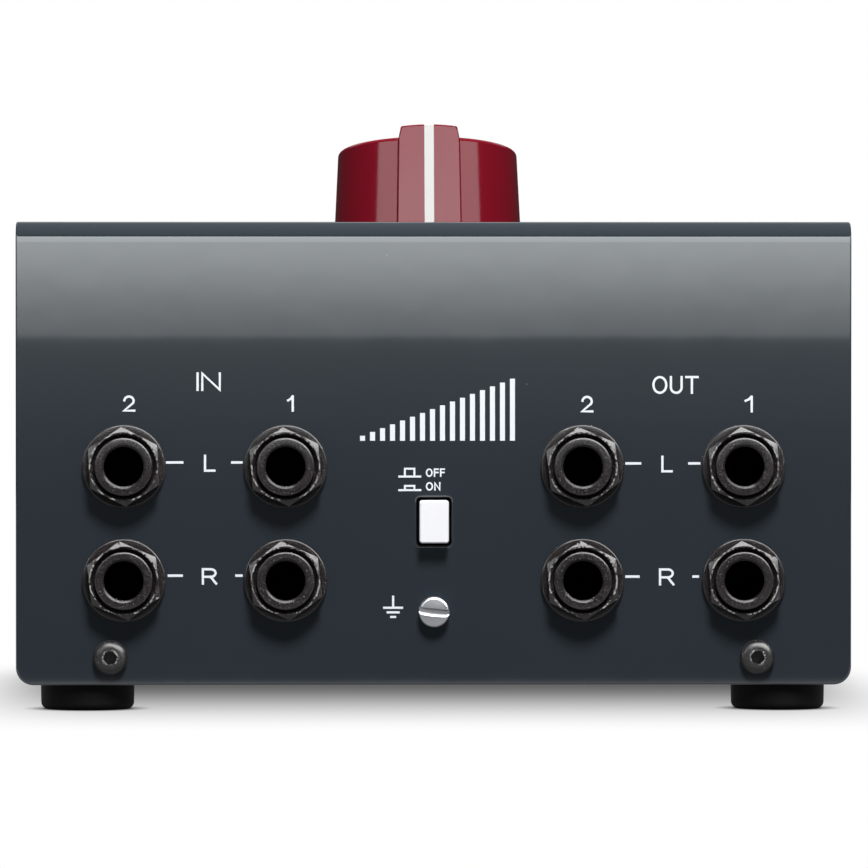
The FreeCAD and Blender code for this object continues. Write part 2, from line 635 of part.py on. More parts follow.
def wrap_cover():
    """Front panel, deck and rear panel folded from one sheet, with every opening in them."""
    body = new_body("wrap_cover")
    fold = new_sketch(body, "fold", "YZ_Plane")
    outline(fold, [
        ("case_rear", "case_base"),
        ("case_rear", "rear_corner"),
        ("case_front", "front_corner"),
        ("case_front", "case_base"),
        ("case_front + sheet_gauge", "case_base"),
        ("case_front + sheet_gauge", "front_corner + sheet_gauge * tan(deck_slope) - deck_gauge"),
        ("case_rear - sheet_gauge", "rear_corner - sheet_gauge * tan(deck_slope) - deck_gauge"),
        ("case_rear - sheet_gauge", "case_base"),
    ])
    feature("Pad", fold, "case_width", both=True)

    def is_fold(edge, inside):
        shift = "sheet_gauge" if inside else "0"
        spot = edge.CenterOfMass
        return (runs_along(edge, "x") and spot.z > value("case_base + bend_outside")
                and (near(spot.y, f"case_rear - {shift}") or near(spot.y, f"case_front + {shift}")))

    dress_edges("Fillet", body, "bend_outside", lambda edge: is_fold(edge, False))
    dress_edges("Fillet", body, "bend_inside", lambda edge: is_fold(edge, True))
    dress_edges("Fillet", body, "bend_outside",
                lambda edge: runs_along(edge, "y") and near(edge.CenterOfMass.z, "case_base"))

    def is_outer_edge(edge):
        faces = [face for face in body.Tip.Shape.Faces if any(edge.isSame(side) for side in face.Edges)]
        outer = [face for face in faces if faces_outwards(face)]
        return len(outer) == 1

    def faces_outwards(face):
        if face.Surface.TypeId == "Part::GeomCylinder":
            bend = face.Surface
            return abs(bend.Axis.x) > 0.5 and near(bend.Radius, "bend_outside")
        if face.Surface.TypeId != "Part::GeomPlane":
            return False
        normal = face.normalAt(0, 0)
        spot = face.CenterOfMass
        middle = FreeCAD.Vector(0, value("(case_rear + case_front) / 2"), value("rear_top / 2"))
        return abs(normal.x) < 0.5 and normal.z > -0.5 and normal.dot(spot - middle) > 0

    dress_edges("Fillet", body, "edge_round", is_outer_edge)

    rear = new_sketch(body, "rear_holes", "XZ_Plane", "-case_rear")
    for x in ("jack_inner_x", "jack_outer_x", "-jack_inner_x", "-jack_outer_x"):
        for z in ("jack_low_z", "jack_high_z"):
            circle(rear, x, z, "nose_radius + nose_slack")
    for x in ("cover_screw_x", "-cover_screw_x"):
        circle(rear, x, "cover_screw_z", "screw_radius + screw_slack")
    circle(rear, "0", "case_base + earth_rise", "screw_radius + screw_slack")
    middle_rectangle(rear, "0", "case_base + rear_button_rise", "cap_width + 2 * window_gap",
                     "cap_height + 2 * window_gap")
    feature("Pocket", rear, "sheet_gauge * 2", back=True)

    front = new_sketch(body, "front_holes", "XZ_Plane", "-case_front")
    for x in ("cover_screw_x", "-cover_screw_x"):
        circle(front, x, "cover_screw_z", "screw_radius + screw_slack")
    feature("Pocket", front, "sheet_gauge * 2")

    deck = tilt_to_deck(new_sketch(body, "deck_holes"))
    circle(deck, "0", "0", "bushing_radius + bushing_slack")
    for x in selector_places():
        middle_rectangle(deck, x, "selector_y",
                         "cap_width + 2 * window_gap", "cap_height + 2 * window_gap")
    feature("Pocket", deck, "sheet_gauge * 2")

    def is_window_corner(edge):
        if edge.Curve.TypeId != "Part::GeomLine" or not near(edge.Length, "sheet_gauge"):
            return False
        inward = abs(edge.CenterOfMass.x) < value("case_width / 2 - bend_outside")
        return inward and abs(edge.Curve.Direction.x) < 0.01

    dress_edges("Fillet", body, "window_corner", is_window_corner)
    return node(body, "wrap_cover")


def base_tray():
    """Floor and side walls folded from one sheet, with four screw tabs behind the cover's panels."""
    body = new_body("base_tray")
    fold = new_sketch(body, "fold", "XZ_Plane", "tray_end - case_rear")
    half = "case_width / 2"
    outline(fold, [
        (f"-{half}", "case_base"),
        (half, "case_base"),
        (half, "rear_corner"),
        (f"{half} - sheet_gauge", "rear_corner"),
        (f"{half} - sheet_gauge", "case_base + sheet_gauge"),
        (f"sheet_gauge - {half}", "case_base + sheet_gauge"),
        (f"sheet_gauge - {half}", "rear_corner"),
        (f"-{half}", "rear_corner"),
    ])
    feature("Pad", fold, "case_depth - 2 * tray_end")
    dress_edges("Fillet", body, "bend_outside",
                lambda edge: runs_along(edge, "y") and near(edge.CenterOfMass.z, "case_base"))
    dress_edges("Fillet", body, "bend_inside",
                lambda edge: runs_along(edge, "y") and near(edge.CenterOfMass.z, "case_base + sheet_gauge"))

    slope = new_sketch(body, "slope", "YZ_Plane")
    outline(slope, [
        ("case_rear", "tray_lip"),
        ("case_rear", "rear_corner + sheet_gauge"),
        ("case_front", "rear_corner + sheet_gauge"),
        ("case_front", "tray_lip - case_depth * tan(deck_slope)"),
    ])
    feature("Pocket", slope, both=True, through=True)
    dress_edges("Fillet", body, "bend_inside + seam_gap",
                lambda edge: runs_along(edge, "x") and edge.CenterOfMass.z > value("case_base + tab_height")
                and near(edge.Length, "sheet_gauge"))

    tabs = new_sketch(body, "tabs", offset="case_base")
    for x in ("cover_screw_x", "-cover_screw_x"):
        rectangle(tabs, f"{x} - tab_width / 2", f"{x} + tab_width / 2",
                  "case_rear - tray_end - sheet_gauge", "case_rear - tray_end")
        rectangle(tabs, f"{x} - tab_width / 2", f"{x} + tab_width / 2",
                  "case_front + tray_end", "case_front + tray_end + sheet_gauge")
    feature("Pad", tabs, "tab_height")

    def is_tab_root(edge):
        spot = edge.CenterOfMass
        return (runs_along(edge, "x") and near(spot.z, "case_base + sheet_gauge")
                and near(edge.Length, "tab_width"))

    dress_edges("Fillet", body, "bend_inside", is_tab_root)
    holes = new_sketch(body, "tab_holes", "XZ_Plane")
    for x in ("cover_screw_x", "-cover_screw_x"):
        circle(holes, x, "cover_screw_z", "screw_radius + thread_slack")
    feature("Pocket", holes, both=True, through=True)
    floor_holes = new_sketch(body, "foot_holes", offset="case_base + sheet_gauge")
    for x in ("foot_x", "-foot_x"):
        for y in ("foot_rear_y", "foot_front_y"):
            circle(floor_holes, x, y, "screw_radius + screw_slack")
    feature("Pocket", floor_holes, "sheet_gauge * 2")
    return node(body, "base_tray")


def cover_screws():
    """Two button-head screws in each of the rear and front panels."""
    master = button_screw("button_screw_master")
    sides = ("cover_screw_x", "-cover_screw_x")
    copies("rear_cover_screws", master,
           [lambda link, x=x: seat_on_rear(link, x, "cover_screw_z") for x in sides])
    copies("front_cover_screws", master,
           [lambda link, x=x: seat_on_front(link, x, "cover_screw_z") for x in sides])


def feet():
    """Four rubber feet, each with a recess for its screw."""
    spots = [(x, y) for x in ("foot_x", "-foot_x") for y in ("foot_rear_y", "foot_front_y")]
    foot = turned_body("foot_master", [
        ("screw_radius + screw_slack", "foot_height"),
        ("foot_radius", "foot_height"),
        ("foot_base_radius", "0"),
        ("foot_recess_radius", "0"),
        ("foot_recess_radius", "foot_height - foot_web"),
        ("screw_radius + screw_slack", "foot_height - foot_web"),
    ])
    dress_edges("Chamfer", foot, "foot_edge", lambda edge: is_ring_at(edge, "foot_base_radius", "0"))
    copies("rubber_feet", foot, [lambda link, x=x, y=y: seat(link, x, y) for x, y in spots])
    screw_master = pan_screw("foot_screw_master", "foot_screw_length")
    copies("foot_screws", screw_master,
           [lambda link, x=x, y=y: seat(link, x, y, "foot_height - foot_web", "180") for x, y in spots])
    nut_master = hex_piece("foot_nut_master", "nut_flats", "nut_height", "screw_radius + thread_slack")
    copies("foot_nuts", nut_master,
           [lambda link, x=x, y=y: seat(link, x, y, "case_base + sheet_gauge") for x, y in spots])


def earth_post():
    """Slotted earth screw, with a solder lug, a lock washer and a nut behind the panel."""
    height = "case_base + earth_rise"
    body = screw("ground_screw", "earth_head_radius", "earth_head_height", "earth_head_bevel",
                 "earth_screw_length")
    slot = new_sketch(body, "slot", offset="earth_head_height")
    reach = "earth_head_radius + cut_spare"
    half = "earth_slot_width / 2"
    corners = ((f"-({reach})", f"-{half}"), (reach, f"-{half}"), (reach, half), (f"-({reach})", half))
    outline(slot, [(f"({x}) * cos(earth_slot_tilt) + ({y}) * sin(earth_slot_tilt)",
                    f"({y}) * cos(earth_slot_tilt) - ({x}) * sin(earth_slot_tilt)") for x, y in corners])
    feature("Pocket", slot, "earth_slot_depth")
    node(seat_on_rear(body, "0", height), "ground_screw")

    lug = new_body("ground_lug")
    eye = new_sketch(lug, "eye", offset="-sheet_gauge - lug_gauge")
    circle(eye, "0", "0", "lug_radius")
    feature("Pad", eye, "lug_gauge")
    tail = new_sketch(lug, "tail", offset="-sheet_gauge - lug_gauge")
    rectangle(tail, "-lug_tail_width / 2", "lug_tail_width / 2", "0", "lug_length")
    feature("Pad", tail, "lug_gauge")
    hole = new_sketch(lug, "hole", offset="-sheet_gauge")
    circle(hole, "0", "0", "screw_radius + screw_slack")
    circle(hole, "0", "lug_length - lug_eyelet_inset", "lug_eyelet_radius")
    feature("Pocket", hole, "lug_gauge * 2")
    node(seat_on_rear(lug, "0", height), "ground_lug")

    washer = new_body("ground_lock_washer")
    ring = new_sketch(washer, "ring", offset="-sheet_gauge - lug_gauge - washer_gauge")
    circle(ring, "0", "0", "washer_radius")
    circle(ring, "0", "0", "screw_radius + screw_slack")
    feature("Pad", ring, "washer_gauge")
    notch = new_sketch(washer, "notch", offset="-sheet_gauge - lug_gauge")
    rectangle(notch, "washer_radius - washer_notch", "washer_radius + cut_spare",
              "-washer_gauge / 2", "washer_gauge / 2")
    tooth_gap = feature("Pocket", notch, "washer_gauge * 2")
    polar(washer, tooth_gap, "washer_teeth", "360")
    node(seat_on_rear(washer, "0", height), "ground_lock_washer")

    nut = hex_piece("ground_nut", "nut_flats", "nut_height", "screw_radius + thread_slack")
    behind = "case_rear - sheet_gauge - lug_gauge - washer_gauge - nut_height"
    node(seat_on_rear(nut, "0", height, behind), "ground_nut")


# ---------------------------------------------------------------- jacks

# Each contact: name, depth of its sprung tip, and the way it lies from the bore's axis in the jack's frame,
# whose Y axis points down.
CONTACTS = (
    ("tip", "tip_contact_depth", 90),
    ("ring", "ring_contact_depth", -90),
    ("sleeve", "sleeve_contact_depth", 0),
)
JACKS = [
    (f"{group}_jack_{number}_{side}", x, z)
    for group, columns in (("input", (("2", "jack_outer_x"), ("1", "jack_inner_x"))),
                           ("output", (("2", "-jack_inner_x"), ("1", "-jack_outer_x"))))
    for number, x in columns
    for side, z in (("left", "jack_high_z"), ("right", "jack_low_z"))
]


def radial_box(sketch, angle, inner, outer, width):
    """Draw a rectangle that lies outwards from the origin at 0, 90 or -90 degrees."""
    if angle == 0:
        rectangle(sketch, inner, outer, f"-({width}) / 2", f"({width}) / 2")
    elif angle == 90:
        rectangle(sketch, f"-({width}) / 2", f"({width}) / 2", inner, outer)
    else:
        rectangle(sketch, f"-({width}) / 2", f"({width}) / 2", f"-({outer})", f"-({inner})")


def jack_master():
    """Moulded housing and nose with a plug bore, and a channel and a window for each contact."""
    body = new_body("jack_master")
    housing = new_sketch(body, "housing", offset="-jack_end")
    middle_rectangle(housing, "0", "0", "jack_body_width", "jack_body_height")
    feature("Pad", housing, "jack_body_depth")
    dress_edges("Chamfer", body, "jack_body_edge", lambda edge: runs_along(edge, "z"))
    nose = new_sketch(body, "nose", offset="-sheet_gauge")
    circle(nose, "0", "0", "nose_radius")
    feature("Pad", nose, "sheet_gauge + jack_nose")
    bore = new_sketch(body, "bore", offset="jack_nose")
    circle(bore, "0", "0", "jack_bore_radius")
    feature("Pocket", bore, "jack_bore_depth")
    dress_edges("Chamfer", body, "jack_mouth",
                lambda edge: is_ring_at(edge, "jack_bore_radius", "jack_nose")
                or is_ring_at(edge, "nose_radius", "jack_nose"))
    inner = "contact_offset - channel_inward"
    outer = "contact_offset + channel_outward"
    for name, depth, angle in CONTACTS:
        channel = new_sketch(body, f"{name}_channel", offset="-jack_end")
        radial_box(channel, angle, inner, outer, "channel_width")
        feature("Pocket", channel, f"jack_end - {depth} + contact_leg + channel_spare", back=True)
        window = new_sketch(body, f"{name}_window", offset=f"-{depth} - contact_window_spare")
        radial_box(window, angle, "jack_bore_radius - cut_spare", "contact_offset", "channel_width")
        feature("Pocket", window, "contact_window", back=True)
    return body


def contact_master(name, depth, angle):
    """Hairpin contact: a straight tail, and a sprung leg that leans towards the bore."""
    body = new_body(f"{name}_contact_master")
    strip = new_sketch(body, "strip", "XZ_Plane")
    tail = "contact_offset - contact_gauge / 2"
    tip = "jack_bore_radius + contact_clear"
    front = f"contact_leg - {depth}"
    outline(strip, [
        (f"{tail} + contact_gauge", "-tail_end"),
        (f"{tail} + contact_gauge", front),
        (f"{tail} - contact_bend", front),
        (tip, f"-{depth}"),
        (f"{tip} + contact_gauge", f"-{depth}"),
        (f"{tail} - contact_bend + contact_gauge", f"{front} - contact_gauge"),
        (tail, f"{front} - contact_gauge"),
        (tail, "-tail_end"),
    ])
    feature("Pad", strip, "contact_width", both=True)
    body.Placement = FreeCAD.Placement(FreeCAD.Vector(), FreeCAD.Rotation(FreeCAD.Vector(0, 0, 1), angle))
    return body


def jacks():
    """Eight jacks with their ring nuts and contacts."""
    master = jack_master()
    for label, x, z in JACKS:
        copies(label, master, [lambda link, x=x, z=z: seat_on_rear(link, x, z)])

    nut = new_body("ring_nut_master")
    flange = new_sketch(nut, "flange")
    circle(flange, "0", "0", "ring_nut_flange")
    circle(flange, "0", "0", "ring_nut_thread")
    feature("Pad", flange, "ring_nut_flange_gauge")
    crown = new_sketch(nut, "crown", offset="ring_nut_flange_gauge")
    hexagon(crown, "ring_nut_flats", "ring_nut_turn")
    circle(crown, "0", "0", "ring_nut_thread")
    feature("Pad", crown, "ring_nut_height - ring_nut_flange_gauge")
    bevel_corners(nut, "ring_nut_flats", "ring_nut_height")
    dress_edges("Chamfer", nut, "ring_nut_mouth",
                lambda edge: is_ring_at(edge, "ring_nut_thread", "ring_nut_height"))
    places = [lambda link, x=x, z=z: seat_on_rear(link, x, z) for _, x, z in JACKS]
    copies("jack_ring_nuts", nut, places)

    for name, depth, angle in CONTACTS:
        strip = contact_master(name, depth, angle)
        pose = doc.addObject("Part::Compound", f"{name}_contact_turned")
        pose.Links = [strip]
        copies(f"jack_{name}_contacts", pose, places)


# ---------------------------------------------------------------- boards

def rear_board():
    """Board behind the jacks, with a slot for each contact's tail."""
    body = new_body("rear_board")
    blank = new_sketch(body, "blank", "XZ_Plane", "jack_end - case_rear")
    rectangle(blank, "rear_board_inset - case_width / 2", "case_width / 2 - rear_board_inset",
              "case_base + rear_board_bottom", "case_base + rear_board_top")
    feature("Pad", blank, "board_gauge")
    tails = new_sketch(body, "tails", "XZ_Plane", "jack_end - case_rear")
    across = "contact_width + 2 * tail_slack"
    through = "contact_gauge + 2 * tail_slack"
    for _, x, z in JACKS:
        middle_rectangle(tails, x, f"{z} - contact_offset", across, through)
        middle_rectangle(tails, x, f"{z} + contact_offset", across, through)
        middle_rectangle(tails, f"{x} + contact_offset", z, through, across)
    feature("Pocket", tails, "board_gauge * 2", back=True)
    return node(body, "rear_board")


def deck_board():
    """Board that hangs under the deck on four standoffs and carries the deck's push switches."""
    body = new_body("deck_board")
    blank = new_sketch(body, "blank", offset="-deck_board_back")
    rectangle(blank, "deck_board_inset - case_width / 2", "case_width / 2 - deck_board_inset",
              "deck_board_front", "deck_board_rear")
    feature("Pad", blank, "board_gauge")
    spots = [(x, y) for x in ("standoff_x", "-standoff_x") for y in ("standoff_rear", "standoff_front")]
    holes = new_sketch(body, "holes", offset="-deck_board_face")
    for x, y in spots:
        circle(holes, x, y, "screw_radius + screw_slack")
    feature("Pocket", holes, "board_gauge * 2")
    node(seat_on_deck(body), "deck_board")

    post = hex_piece("standoff_master", "nut_flats", "standoff_length", "screw_radius + thread_slack", False)
    copies("deck_standoffs", post,
           [lambda link, x=x, y=y: seat_on_deck(link, x, y, "-deck_board_face") for x, y in spots])
    fixing = pan_screw("board_screw_master", "board_screw_length")
    copies("deck_board_screws", fixing,
           [lambda link, x=x, y=y: seat_upside_down(link, x, y, "-deck_board_back") for x, y in spots])


def seat_upside_down(thing, x, y, z):
    """Place an object in the deck's frame with its Z axis into the case."""
    return seat(thing, x, f"knob_y + ({y}) * cos(deck_slope) - ({z}) * sin(deck_slope)",
                f"knob_z + ({y}) * sin(deck_slope) + ({z}) * cos(deck_slope)", "deck_slope + 180")


def ribbon():
    """Flat cable from the rear board's socket to the deck board's, in one bend."""
    body = new_body("ribbon_cable")
    run = new_sketch(body, "run", "YZ_Plane", "ribbon_x")
    low = "ribbon_z - ribbon_gauge / 2"
    high = "ribbon_z + ribbon_gauge / 2"
    front_y = "ribbon_top_y - ribbon_half_y"
    front_z = "ribbon_top_z - ribbon_half_z"
    back_y = "ribbon_top_y + ribbon_half_y"
    back_z = "ribbon_top_z + ribbon_half_z"
    outline(run, [
        ("ribbon_start", high),
        ("ribbon_start", low),
        (f"{front_y} + ({front_z} - ({low})) * tan(deck_slope)", low),
        (front_y, front_z),
        (back_y, back_z),
        (f"{back_y} + ({back_z} - ({high})) * tan(deck_slope)", high),
    ])
    feature("Pad", run, "ribbon_width", both=True)

    def is_bend(edge, level):
        spot = edge.CenterOfMass
        return runs_along(edge, "x") and near(spot.z, level) and spot.y < value("ribbon_start - ribbon_bend")

    dress_edges("Fillet", body, "ribbon_bend", lambda edge: is_bend(edge, high))
    dress_edges("Fillet", body, "ribbon_bend + ribbon_gauge", lambda edge: is_bend(edge, low))
    node(body, "ribbon_cable")

    socket = new_body("socket_master")
    block = new_sketch(socket, "block")
    middle_rectangle(block, "0", "0", "socket_length", "socket_width")
    feature("Pad", block, "socket_height")
    key = new_sketch(socket, "key", "XZ_Plane", "socket_width / 2")
    rectangle(key, "-key_width / 2", "key_width / 2",
              "socket_height - key_height", "socket_height + cut_spare")
    feature("Pocket", key, "key_depth", back=True)
    copies("ribbon_sockets", socket, [
        lambda link: seat(link, "ribbon_x", "case_rear - board_back", "ribbon_z", "90"),
        lambda link: seat_upside_down(link, "ribbon_x", "ribbon_deck_y", "-deck_board_back"),
    ])


# ---------------------------------------------------------------- push switches

def push_switch(label, end):
    """Switch body behind a panel, with a well for its plunger; it reaches back to the board."""
    body = new_body(label)
    block = new_sketch(body, "block", offset=f"-({end})")
    middle_rectangle(block, "0", "0", "switch_width", "switch_height")
    feature("Pad", block, f"{end} - switch_face")
    dress_edges("Chamfer", body, "switch_edge", lambda edge: runs_along(edge, "z"))
    well = new_sketch(body, "well", offset="-switch_face")
    middle_rectangle(well, "0", "0", "plunger_side + 2 * plunger_gap", "plunger_side + 2 * plunger_gap")
    feature("Pocket", well, "plunger_hold + button_travel + plunger_room")
    flutes = new_sketch(body, "flutes", offset="-switch_face - flute_margin")
    for x in ("-switch_width / 2", "switch_width / 2"):
        middle_rectangle(flutes, x, "0", "2 * flute_depth", "flute_width")
    feature("Pocket", flutes, f"{end} - switch_face - 2 * flute_margin")
    return body


def plunger(label):
    """Square plunger from inside the switch to inside the cap."""
    body = new_body(label)
    stem = new_sketch(body, "stem", offset="-switch_face - plunger_hold")
    middle_rectangle(stem, "0", "0", "plunger_side", "plunger_side")
    feature("Pad", stem, "switch_face + plunger_hold + cap_proud - cap_wall")
    return body


def button_cap(label):
    """Push-button cap with softened edges and a socket for the plunger."""
    body = new_body(label)
    block = new_sketch(body, "block", offset="cap_proud - cap_length")
    middle_rectangle(block, "0", "0", "cap_width", "cap_height")
    feature("Pad", block, "cap_length")
    dress_edges("Fillet", body, "cap_corner", lambda edge: runs_along(edge, "z"))
    dress_edges("Chamfer", body, "cap_edge", lambda edge: spans(edge, "cap_proud", "cap_proud"))
    socket = new_sketch(body, "socket", offset="cap_proud - cap_length")
    middle_rectangle(socket, "0", "0", "plunger_side", "plunger_side")
    feature("Pocket", socket, "cap_length - cap_wall", back=True)
    return body


def push_switches():
    """The latching switch on the rear panel and the four on the deck."""
    height = "case_base + rear_button_rise"
    node(seat_on_rear(push_switch("rear_switch_body", "jack_end"), "0", height), "rear_switch_body")
    node(seat_on_rear(plunger("rear_switch_plunger"), "0", height), "rear_switch_plunger")
    node(seat_on_rear(button_cap("rear_button_cap"), "0", height), "rear_button_cap")

    places = selector_places()
    master = push_switch("selector_switch_master", "deck_board_face")
    copies("selector_switch_bodies", master,
           [lambda link, x=x: seat_on_deck(link, x, "selector_y") for x in places])
    for number, x in enumerate(places, start=1):
        stem = plunger(f"selector_plunger_{number}")
        node(seat_on_deck(stem, x, "selector_y"), f"selector_plunger_{number}")
        cap = button_cap(f"selector_cap_{number}")
        node(seat_on_deck(cap, x, "selector_y"), f"selector_cap_{number}")


# ---------------------------------------------------------------- volume knob

def pointer_profile(sketch, spare):
    """Draw the pointer line from the side: along the bar's top and down its end, with spare stock outside."""
    outline(sketch, [
        ("0", "knob_height - inlay_depth"),
        ("bar_end - inlay_depth", "knob_height - inlay_depth"),
        ("bar_foot - inlay_depth", "knob_height - bar_drop"),
        (f"bar_foot + {spare}", "knob_height - bar_drop"),
        (f"bar_end + {spare}", f"knob_height + {spare}"),
        ("0", f"knob_height + {spare}"),
    ])


def knob():
    """Skirted pointer knob: drafted skirt, dished top, bar across it with a line, hollow underside."""
    body = new_body("knob_body")
    bar = new_sketch(body, "bar", offset="knob_height")
    rectangle(bar, "-bar_width / 2", "bar_width / 2", "rim_width - knob_rim_radius", "bar_end")
    feature("Pad", bar, "bar_drop", back=True)
    draft_sides(body, "knob_height", "bar_draft")
    dress_edges("Fillet", body, "bar_corner",
                lambda edge: spans(edge, "knob_height - bar_drop", "knob_height") and edge.CenterOfMass.y > 0)
    dress_edges("Fillet", body, "bar_round", lambda edge: spans(edge, "knob_height", "knob_height"))

    skirt = new_sketch(body, "skirt", "XZ_Plane")
    outline(skirt, [
        ("0", "knob_gap"),
        ("knob_base_radius", "knob_gap"),
        ("knob_rim_radius", "skirt_height"),
        ("knob_rim_radius - rim_width", "skirt_height"),
        ("knob_rim_radius - rim_width - dish_depth", "skirt_height - dish_depth"),
        ("0", "skirt_height - dish_depth"),
    ])
    turned("Revolution", skirt)
    dress_edges("Fillet", body, "rim_round", lambda edge: is_ring_at(edge, "knob_rim_radius", "skirt_height"))
    hollow = new_sketch(body, "hollow", "XZ_Plane")
    outline(hollow, [("0", "knob_gap - cut_spare"), ("knob_cavity_radius", "knob_gap - cut_spare"),
                     ("knob_cavity_radius", "knob_cavity_top"), ("insert_radius", "knob_cavity_top"),
                     ("insert_radius", "insert_top"), ("0", "insert_top")])
    turned("Groove", hollow)
    groove = new_sketch(body, "line", "YZ_Plane")
    pointer_profile(groove, "cut_spare")
    feature("Pocket", groove, "inlay_width", both=True)
    grub_hole = new_sketch(body, "grub_hole", "XZ_Plane")
    circle(grub_hole, "0", "grub_height", "screw_radius + thread_slack")
    feature("Pocket", grub_hole, "knob_base_radius + cut_spare", back=True)
    node(seat_on_deck(body), "knob_body")

    inlay = new_body("pointer_inlay")
    line = new_sketch(inlay, "line", "YZ_Plane")
    pointer_profile(line, "0")
    feature("Pad", line, "inlay_width", both=True)
    dress_edges("Fillet", inlay, "bar_round",
                lambda edge: runs_along(edge, "x") and near(edge.CenterOfMass.y, "bar_end")
                and near(edge.CenterOfMass.z, "knob_height"))
    node(seat_on_deck(inlay), "pointer_inlay")

    insert = turned_body("knob_insert", [
        ("shaft_radius", "knob_cavity_top"), ("insert_radius", "knob_cavity_top"),
        ("insert_radius", "insert_top"), ("shaft_radius", "insert_top")])
    tapped = new_sketch(insert, "tapped", "XZ_Plane")
    circle(tapped, "0", "grub_height", "screw_radius + thread_slack")
    feature("Pocket", tapped, "knob_base_radius", back=True)
    node(seat_on_deck(insert), "knob_insert")

    grub = new_body("knob_grub_screw")
    rod = new_sketch(grub, "rod", "XZ_Plane", "shaft_radius")
    circle(rod, "0", "grub_height", "screw_radius")
    feature("Pad", rod, "grub_length")
    drive = new_sketch(grub, "drive", "XZ_Plane", "shaft_radius + grub_length")
    outline(drive, [(f"grub_socket_width / 2 / cos(30) * cos({angle})",
                     f"grub_height + grub_socket_width / 2 / cos(30) * sin({angle})")
                    for angle in range(0, 360, 60)])
    feature("Pocket", drive, "grub_socket_depth")
    node(seat_on_deck(grub), "knob_grub_screw")


# ---------------------------------------------------------------- stepped volume switch

def eared_plate(label, radius, bore):
    """Round plate with two ears for the tie screws, its upper face at Z = 0."""
    body = new_body(label)
    disc = new_sketch(body, "disc", offset="-wafer_gauge")
    circle(disc, "0", "0", radius)
    feature("Pad", disc, "wafer_gauge")
    webs = new_sketch(body, "webs", offset="-wafer_gauge")
    rectangle(webs, "-tie_offset", "tie_offset", "-ear_radius", "ear_radius")
    feature("Pad", webs, "wafer_gauge")
    ears = new_sketch(body, "ears", offset="-wafer_gauge")
    circle(ears, "-tie_offset", "0", "ear_radius")
    circle(ears, "tie_offset", "0", "ear_radius")
    feature("Pad", ears, "wafer_gauge")
    holes = new_sketch(body, "holes")
    circle(holes, "0", "0", bore)
    circle(holes, "-tie_offset", "0", "tie_radius + tie_slack")
    circle(holes, "tie_offset", "0", "tie_radius + tie_slack")
    feature("Pocket", holes, "wafer_gauge * 2")
    return body


def index_mechanism():
    """Bushing and detent housing, with the toothed wheel, balls and leaf springs that give the clicks."""
    body = turned_body("index_housing", [
        ("shaft_radius + running_gap", "bushing_proud"),
        ("bushing_radius", "bushing_proud"),
        ("bushing_radius", "-sheet_gauge"),
        ("index_radius", "-sheet_gauge"),
        ("index_radius", "-index_end"),
        ("index_radius - index_wall", "-index_end"),
        ("index_radius - index_wall", "-sheet_gauge - index_roof"),
        ("shaft_radius + running_gap", "-sheet_gauge - index_roof"),
    ])
    inner = "index_radius - index_wall / 2"
    webs = new_sketch(body, "webs", offset="-index_end")
    rectangle(webs, inner, "tie_offset", "-ear_radius", "ear_radius")
    rectangle(webs, "-tie_offset", f"-({inner})", "-ear_radius", "ear_radius")
    feature("Pad", webs, "index_height")
    ears = new_sketch(body, "ears", offset="-index_end")
    circle(ears, "-tie_offset", "0", "ear_radius")
    circle(ears, "tie_offset", "0", "ear_radius")
    feature("Pad", ears, "index_height")
    holes = new_sketch(body, "holes", offset="-index_end")
    circle(holes, "-tie_offset", "0", "tie_radius + thread_slack")
    circle(holes, "tie_offset", "0", "tie_radius + thread_slack")
    feature("Pocket", holes, "index_height - index_roof", back=True)
    node(seat_on_deck(body), "index_housing")

    washer = turned_body("bushing_washer", [
        ("bushing_radius + bushing_slack", "0"), ("bushing_washer_radius", "0"),
        ("bushing_washer_radius", "bushing_washer_gauge"),
        ("bushing_radius + bushing_slack", "bushing_washer_gauge")])
    node(seat_on_deck(washer), "bushing_washer")
    nut = hex_piece("bushing_nut", "bushing_nut_flats", "bushing_nut_height", "bushing_radius + thread_slack")
    node(seat_on_deck(nut, z="bushing_washer_gauge"), "bushing_nut")

    wheel = new_body("detent_wheel")
    disc = new_sketch(wheel, "disc", offset="-sheet_gauge - index_roof - detent_rise - detent_gauge")
    circle(disc, "0", "0", "detent_radius")
    circle(disc, "0", "0", "shaft_radius")
    feature("Pad", disc, "detent_gauge")
    hollow = new_sketch(wheel, "hollow", offset="-sheet_gauge - index_roof - detent_rise")
    circle(hollow, "0", "detent_radius + scallop_offset", "scallop_radius")
    scallop = feature("Pocket", hollow, "detent_gauge * 2")
    polar(wheel, scallop, "detent_teeth", "360")
    node(seat_on_deck(wheel), "detent_wheel")

    middle = "-sheet_gauge - index_roof - detent_rise - detent_gauge / 2"
    balls = doc.addObject("Part::Sphere", "ball_master")
    bind(balls, Radius="ball_radius")
    copies("detent_balls", balls, [
        lambda link: seat_on_deck(link, "0", "ball_orbit", middle),
        lambda link: seat_on_deck(link, "0", "-ball_orbit", middle),
    ])
    leaf = new_body("detent_springs")
    strip = new_sketch(leaf, "strip", "YZ_Plane")
    rectangle(strip, "leaf_inner", "leaf_inner + leaf_gauge",
              f"{middle} - detent_gauge / 2", f"{middle} + detent_gauge / 2")
    bend = turned("Revolution", strip, "leaf_angle")
    polar(leaf, bend, "2", "360")
    node(seat_on_deck(leaf), "detent_springs")


